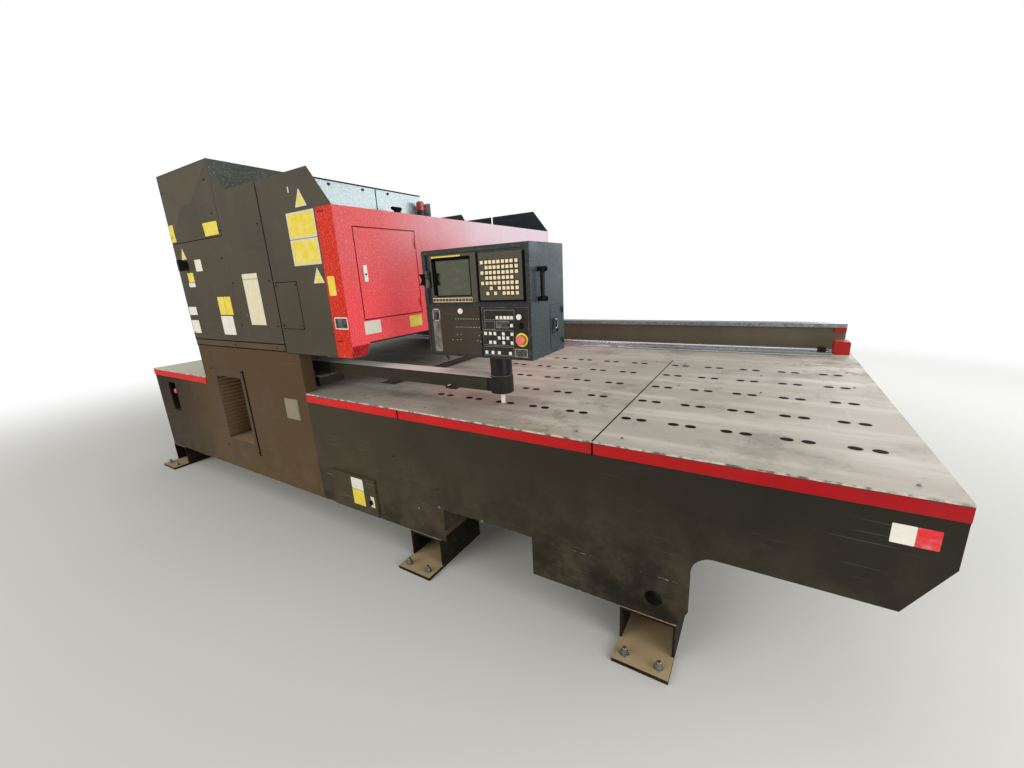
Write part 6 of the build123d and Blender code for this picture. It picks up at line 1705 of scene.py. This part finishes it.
    def soft_key_row(self) -> Piece:
        """Row of soft keys under the screen."""
        strip = PlateSpec((self.left + 0.053, self.split + 0.018), (self.left + 0.309, self.split + 0.039),
                          "cap_cream", corner=0.003)
        self.signs.plate(strip, Facing.FRONT, self.front, "soft_key_strip", "pendant", "key_grey")
        key = ease(tile(self.soft_key), 0.0035, along(Axis.Z), 3)
        ease(key, 0.0008, past(Axis.Z, self.soft_key[2] * 0.9), 1)
        pitch = (strip.high[0] - strip.low[0]) / self.soft_keys
        seat = self.front - self.soft_key_lift
        places = [Facing.FRONT.at((strip.low[0] + pitch * (number + 0.5), seat, self.soft_key_row_height))
                  for number in range(self.soft_keys)]
        return self.fit(repeat(key, places), "soft_key_caps", "key_grey", "key_brown")

    def key_borders(self) -> Piece:
        """Dark wells that show round every key of the keyboard."""
        well = ease(tile(self.well), 0.0012, along(Axis.Z), 2)
        rows, staggered = self.key_field
        places = []
        for row in range(rows):
            for column, offset in enumerate(self.key_columns):
                blank = (row in (1, 3) and column == 0) or (row == 3 and column == 8)
                gap = row >= staggered and (column == 0 or (column < 5 and (column + row) % 2 == 0))
                if not blank and not gap:
                    places.append(Facing.FRONT.at((self.keyboard_left + offset, self.front + 0.002,
                                                   self.keyboard_top - row * self.key_pitch)))
        return self.fit(repeat(well, places), "key_wells", "bezel_dark", "joint_black")

    def panel_lines(self) -> None:
        """Joint of the lower panel, the pale lines round its key groups, its display and its socket cover."""
        depth, slot = self.panel, "switch_face"
        joint = cuboid((self.seam - 0.003, depth - 0.0012, self.bottom + 0.009),
                       (self.seam + 0.003, depth, self.split - 0.007))
        ease(joint, 0.0005, short_of(Axis.Y, depth - 0.001))
        self.fit(joint, "panel_joint", slot, "joint_black")
        for number, spec in enumerate(self.group_frames):
            self.signs.frame(spec, 0.0012, Facing.FRONT, depth, f"key_group_line_{number + 1}", "pendant",
                             slot, "line_grey", 0.0003)
        self.signs.plate(self.display, Facing.FRONT, depth, "small_display", "pendant", slot, "line_grey")
        self.signs.plate(self.socket_cover, Facing.FRONT, depth, "socket_cover", "pendant", slot, "line_grey")
        low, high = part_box("screen_glass")
        border = PlateSpec((low[0] - 0.004, low[2] - 0.003), (high[0] + 0.004, high[2] + 0.003))
        self.signs.frame(border, 0.0055, Facing.FRONT, self.front + 0.002, "screen_border", "pendant",
                         "bezel_dark", "joint_black", 0.0007)
        bars = [ease(self.slab(span, 0.0013, 0.004), 0.0005, short_of(Axis.Y, self.front + 0.002))
                for span in self.recess_bars]
        self.fit(fuse(bars), "recess_shades", "bezel_dark", "joint_black")
        filler = self.slab(self.display_filler, 0.002, 0.006)
        ease(filler, 0.001, short_of(Axis.Y, self.front + 0.003))
        self.fit(filler, "display_filler", "bezel_dark", "bezel_brown")
        bar = ease(self.slab(self.clip_bar, -0.016, 0.002), 0.003)
        self.fit(bar, "clip_bar", "pendant_black", "rim_brown")
        rim = PlateSpec((self.seam + 0.010, self.bottom + 0.012), (self.right - 0.016, self.split - 0.010))
        self.signs.frame(rim, 0.0022, Facing.FRONT, depth, "panel_rim", "pendant", slot, "rim_brown", 0.0006)

    def knob(self) -> Piece:
        """Small white knob on the lower panel."""
        foot, head = self.knob_radii
        knob = turned(foot, 0.0, self.knob_height, 20, head)
        step_in(knob, facing((0, 0, 1)), 0.0015, 0.0012)
        ease(knob, 0.0008, past(Axis.Z, self.knob_height * 0.93), 2)
        x, z = self.white_knob
        knob.data.transform(Facing.FRONT.at((x, self.panel, z)))
        return self.fit(knob, "white_knob", "button_white", "cap_white")

    def spring_clips(self) -> Piece:
        """Two black spring clips, waisted in the middle, on the left of the display."""
        clips = []
        for x, half, z in self.clips:
            tall = self.clip_half_height
            clip = self.slab(((x - half, z - tall), (x + half, z + tall)), -0.010, 0.002)
            with editing(clip):
                bpy.ops.mesh.select_all(action="SELECT")
                bpy.ops.mesh.bisect(plane_co=(0, 0, z), plane_no=(0, 0, 1))
            for vertex in clip.data.vertices:
                if abs(vertex.co.z - z) < 0.001:
                    vertex.co.x = x + (vertex.co.x - x) * self.clip_waist
            clips.append(ease(clip, 0.0018))
        return self.fit(fuse(clips), "spring_clips", "pendant_black", "joint_black")

    def hatch_latch(self) -> None:
        """Slot beside the side hatch, and the hooked latch on it."""
        low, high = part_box("side_hatch")
        seam = cuboid((self.right - 0.0008, low[1] - 0.0035, low[2] + 0.002),
                      (self.right + 0.0006, low[1] + 0.0005, high[2] - 0.002))
        ease(seam, 0.0004, past(Axis.X, self.right))
        self.fit(seam, "hatch_seam", "pendant_black", "joint_black")
        plate = cuboid((self.right, *self.latch_plate[0]),
                       (self.right + self.latch_thickness, *self.latch_plate[1]))
        ease(plate, 0.0015, past(Axis.X, self.right + 0.003))
        step_in(plate, facing((1, 0, 0), self.right + 0.003), 0.010, -0.0015)
        clear_selection()
        wide, thick = self.hook_radii
        bpy.ops.mesh.primitive_torus_add(location=self.hook, rotation=(0, math.pi / 2, 0), major_radius=wide,
                                         minor_radius=thick, major_segments=28, minor_segments=8)
        hook = bpy.context.object
        bpy.ops.object.transform_apply(location=True, rotation=True, scale=True)
        for vertex in hook.data.vertices:
            if vertex.co.z > self.hook[2]:
                vertex.co.z += self.hook_stretch
        install(plate, "hatch_latch_plate", "side_hatch", "pendant_black", self.palette["pendant_side"])
        install(hook, "hatch_latch_hook", "side_hatch", "pendant_black", self.palette["zinc_fastener"])

    def side_grip(self) -> None:
        """Thick grip with round bends on the right side."""
        low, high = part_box("side_handle")
        y, reach = (low[1] + high[1]) / 2, high[0] - self.grip
        bottom, top, turn = low[2] + self.grip * 0.7, high[2] - self.grip * 0.7, self.grip_bend
        clear_selection()
        bpy.ops.mesh.primitive_circle_add(vertices=16, radius=self.grip, location=(low[0], y, bottom),
                                          rotation=(0, math.pi / 2, 0))
        grip = bpy.context.object
        bpy.ops.object.transform_apply(location=True, rotation=True, scale=True)
        legs = ((reach - turn - low[0], 0, 0), (0, 0, top - bottom - 2 * turn), (low[0] + turn - reach, 0, 0))
        bends = ((reach - turn, y, bottom + turn), (reach - turn, y, top - turn))
        with editing(grip):
            bpy.ops.mesh.select_mode(type="EDGE")
            bpy.ops.mesh.select_all(action="SELECT")
            for number, leg in enumerate(legs):
                bpy.ops.mesh.extrude_region_move(TRANSFORM_OT_translate={"value": leg})
                if number < len(bends):
                    bpy.ops.mesh.spin(steps=6, angle=math.pi / 2, center=bends[number], axis=(0, -1, 0))
            bpy.ops.mesh.select_all(action="DESELECT")
            bpy.ops.mesh.select_non_manifold()
            bpy.ops.mesh.edge_face_add()
        piece = self.fit(grip, "side_grip", "pendant_black", "satin_black")
        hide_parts("side_handle")

    def rest_pin(self) -> Piece:
        """White pin under the end of the arm."""
        pin = turned(self.pin_radius, -self.pin_length, 0.0, 20)
        ease(pin, 0.003, short_of(Axis.Z, 0.001 - self.pin_length), 2)
        low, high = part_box("pendant_post")
        pin.data.transform(Matrix.Translation(((low[0] + high[0]) / 2, (low[1] + high[1]) / 2, low[2])))
        return install(pin, "rest_pin", "swing_arm", "frame_grey", self.palette["cap_white"])

    def stop_collar(self) -> Piece:
        """Yellow ring round the stop button."""
        low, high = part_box("e_stop_button")
        room = (high[0] - low[0]) / 2 + 0.001
        collar = turned(self.stop_ring, 0.0, 0.003, 40)
        step_in(collar, facing((0, 0, 1)), self.stop_ring - room, 0.0)
        with editing(collar):
            pick(collar, "FACE", lambda middle, normal: abs(normal.z) > 0.9 and middle.xy.length < 0.001)
            bpy.ops.mesh.delete(type="FACE")
        ease(collar, 0.0008, lambda middle, direction: middle.z > 0.0029 and middle.xy.length > 0.030)
        x, z = self.stop_seat
        collar.data.transform(Facing.FRONT.at((x, self.panel, z)))
        return self.fit(collar, "stop_collar", "button_red", "collar_yellow")

    def lamps(self) -> Piece:
        """Small indicator lamps on the left of the lower panel."""
        lamp = turned(self.lamp_radius, 0.0, self.lamp_height, 10)
        step_in(lamp, facing((0, 0, 1)), 0.0008, 0.0005)
        spots = [(self.lamp_start + self.lamp_pitch * column, z)
                 for column in range(self.lamp_columns) for z in self.lamp_rows]
        spots += self.single_lamps
        places = [Facing.FRONT.at((x, self.panel, z)) for x, z in spots]
        return self.fit(repeat(lamp, places), "indicator_lamps", "key_grey", "plate_edge")

    def fittings(self) -> None:
        """Fixes the small parts of the pendant."""
        self.square_caps()
        self.soft_key_row()
        self.stop_collar()
        self.lamps()
        self.key_borders()
        self.panel_lines()
        self.knob()
        self.spring_clips()
        self.hatch_latch()
        self.side_grip()
        self.rest_pin()
        small = (("key_switch_plate", self.key_switch), ("worn_strip", self.worn_strip))
        for name, spec in small:
            self.signs.plate(spec, Facing.FRONT, self.panel, name, "pendant", "switch_face")
        self.signs.plate(self.trim, Facing.FRONT, self.front + 0.002, "display_trim", "pendant", "bezel_dark")

    def build(self) -> None:
        """Builds the whole sub-assembly."""
        self.finishes()
        self.fittings()


@dataclass
class Studio:
    """Camera, lamps, floor and backdrop."""

    eye: Point = (2.1655, -2.7615, 1.610)
    right: Point = (0.8553, 0.5155, -0.0518)
    up: Point = (-0.0887, 0.2442, 0.9656)
    back: Point = (0.5104, -0.8213, 0.2547)
    lens: float = 14.65
    ambient: float = 0.46

    def camera(self) -> None:
        """Sets the camera at the photograph's place."""
        data = bpy.data.cameras.new("camera")
        data.sensor_width = 36
        data.lens = self.lens
        data.clip_start = 0.05
        camera = bpy.data.objects.new("camera", data)
        bpy.context.scene.collection.objects.link(camera)
        turn = Matrix((self.right, self.up, self.back)).transposed().to_4x4()
        camera.matrix_world = Matrix.Translation(self.eye) @ turn
        bpy.context.scene.camera = camera

    @staticmethod
    def lamp(name: str, place: Point, target: Point, size: Tuple[float, float], power: float,
             colour: Rgb) -> None:
        """Adds one soft lamp that looks at a target."""
        data = bpy.data.lights.new(name, "AREA")
        data.shape = "RECTANGLE"
        data.size, data.size_y = size
        data.energy = power
        data.color = colour
        lamp = bpy.data.objects.new(name, data)
        bpy.context.scene.collection.objects.link(lamp)
        aim = (Vector(target) - Vector(place)).to_track_quat("-Z", "Y")
        lamp.matrix_world = Matrix.Translation(place) @ aim.to_matrix().to_4x4()

    def floor(self) -> None:
        """Lays the pale floor, which fades to white far from the machine."""
        clear_selection()
        bpy.ops.mesh.primitive_plane_add(size=60, location=(0, 0, 0))
        floor = bpy.context.object
        floor.name = "studio_floor"
        b = FinishBench("studio_floor")
        distance = b.node("ShaderNodeVectorMath", {"operation": "LENGTH"}, {0: b.places}, "Value")
        b.close(base_color=paint(206, 204, 198), roughness=0.85)
        white = b.node("ShaderNodeEmission", inputs={"Color": (1, 1, 1, 1), "Strength": 1.0})
        seen = b.node("ShaderNodeLightPath", output="Is Camera Ray")
        share = distance.ramp(3.6, 8.5) * seen
        mixed = b.node("ShaderNodeMixShader", inputs={0: share, 1: Signal(b, b.shader.outputs[0]), 2: white})
        output = next(node for node in b.tree.nodes if node.type == "OUTPUT_MATERIAL")
        b.tree.links.new(mixed.socket, output.inputs[0])
        floor.data.materials.append(b.material)

    def surroundings(self) -> None:
        """Even surroundings, white where they are seen."""
        world = bpy.data.worlds.new("surroundings")
        bpy.context.scene.world = world
        world.use_nodes = True
        tree = world.node_tree
        tree.nodes.clear()
        path = tree.nodes.new("ShaderNodeLightPath")
        seen = tree.nodes.new("ShaderNodeMath")
        seen.operation = "MAXIMUM"
        tree.links.new(path.outputs["Is Camera Ray"], seen.inputs[0])
        tree.links.new(path.outputs["Is Transmission Ray"], seen.inputs[1])
        soft = tree.nodes.new("ShaderNodeBackground")
        soft.inputs["Color"].default_value = (0.97, 0.985, 1.0, 1)
        soft.inputs["Strength"].default_value = self.ambient
        white = tree.nodes.new("ShaderNodeBackground")
        white.inputs["Strength"].default_value = 1.0
        white.inputs["Color"].default_value = (1, 1, 1, 1)
        mixed = tree.nodes.new("ShaderNodeMixShader")
        output = tree.nodes.new("ShaderNodeOutputWorld")
        tree.links.new(seen.outputs[0], mixed.inputs[0])
        tree.links.new(soft.outputs[0], mixed.inputs[1])
        tree.links.new(white.outputs[0], mixed.inputs[2])
        tree.links.new(mixed.outputs[0], output.inputs[0])

    def build(self) -> None:
        """Sets up the whole studio."""
        bpy.context.scene.view_settings.view_transform = "Standard"
        self.camera()
        self.surroundings()
        self.floor()
        self.lamp("front_softbox", (-2.6, -6.8, 3.0), (-0.6, -0.6, 1.2), (5.0, 3.0), 225, (1.0, 0.98, 0.94))
        self.lamp("right_softbox", (7.5, -0.5, 4.2), (0.2, 0.0, 1.2), (7.0, 5.0), 250, (0.97, 0.985, 1.0))
        self.lamp("roof_softbox", (0.5, 0.6, 6.5), (0.5, 0.0, 1.0), (6.0, 4.0), 85, (1.0, 1.0, 1.0))
        self.lamp("window_softbox", (4.8, 4.9, 2.6), (0.2, -0.4, 1.4), (5.0, 2.4), 150, (0.94, 0.98, 1.0))
        self.lamp("low_right_softbox", (4.6, -2.4, 1.1), (0.2, -0.7, 1.5), (2.5, 1.2), 40, (1.0, 0.99, 0.97))


def main() -> None:
    """Builds every sub-assembly in order."""
    logging.basicConfig(level=logging.INFO, format="%(message)s")
    palette = Palette()
    palette.build()
    signs = SignShop(palette)
    Studio().build()
    for assembly in (
        BedAndFeet(palette),
        FrontSkirts(palette, signs),
        Tower(palette, signs),
        Bridge(palette, signs),
        SheetTable(palette, signs),
        Drives(palette),
        Pendant(palette, signs),
    ):
        LOG.info("building %s", type(assembly).__name__)
        assembly.build()


if __name__ == "__main__":
    main()
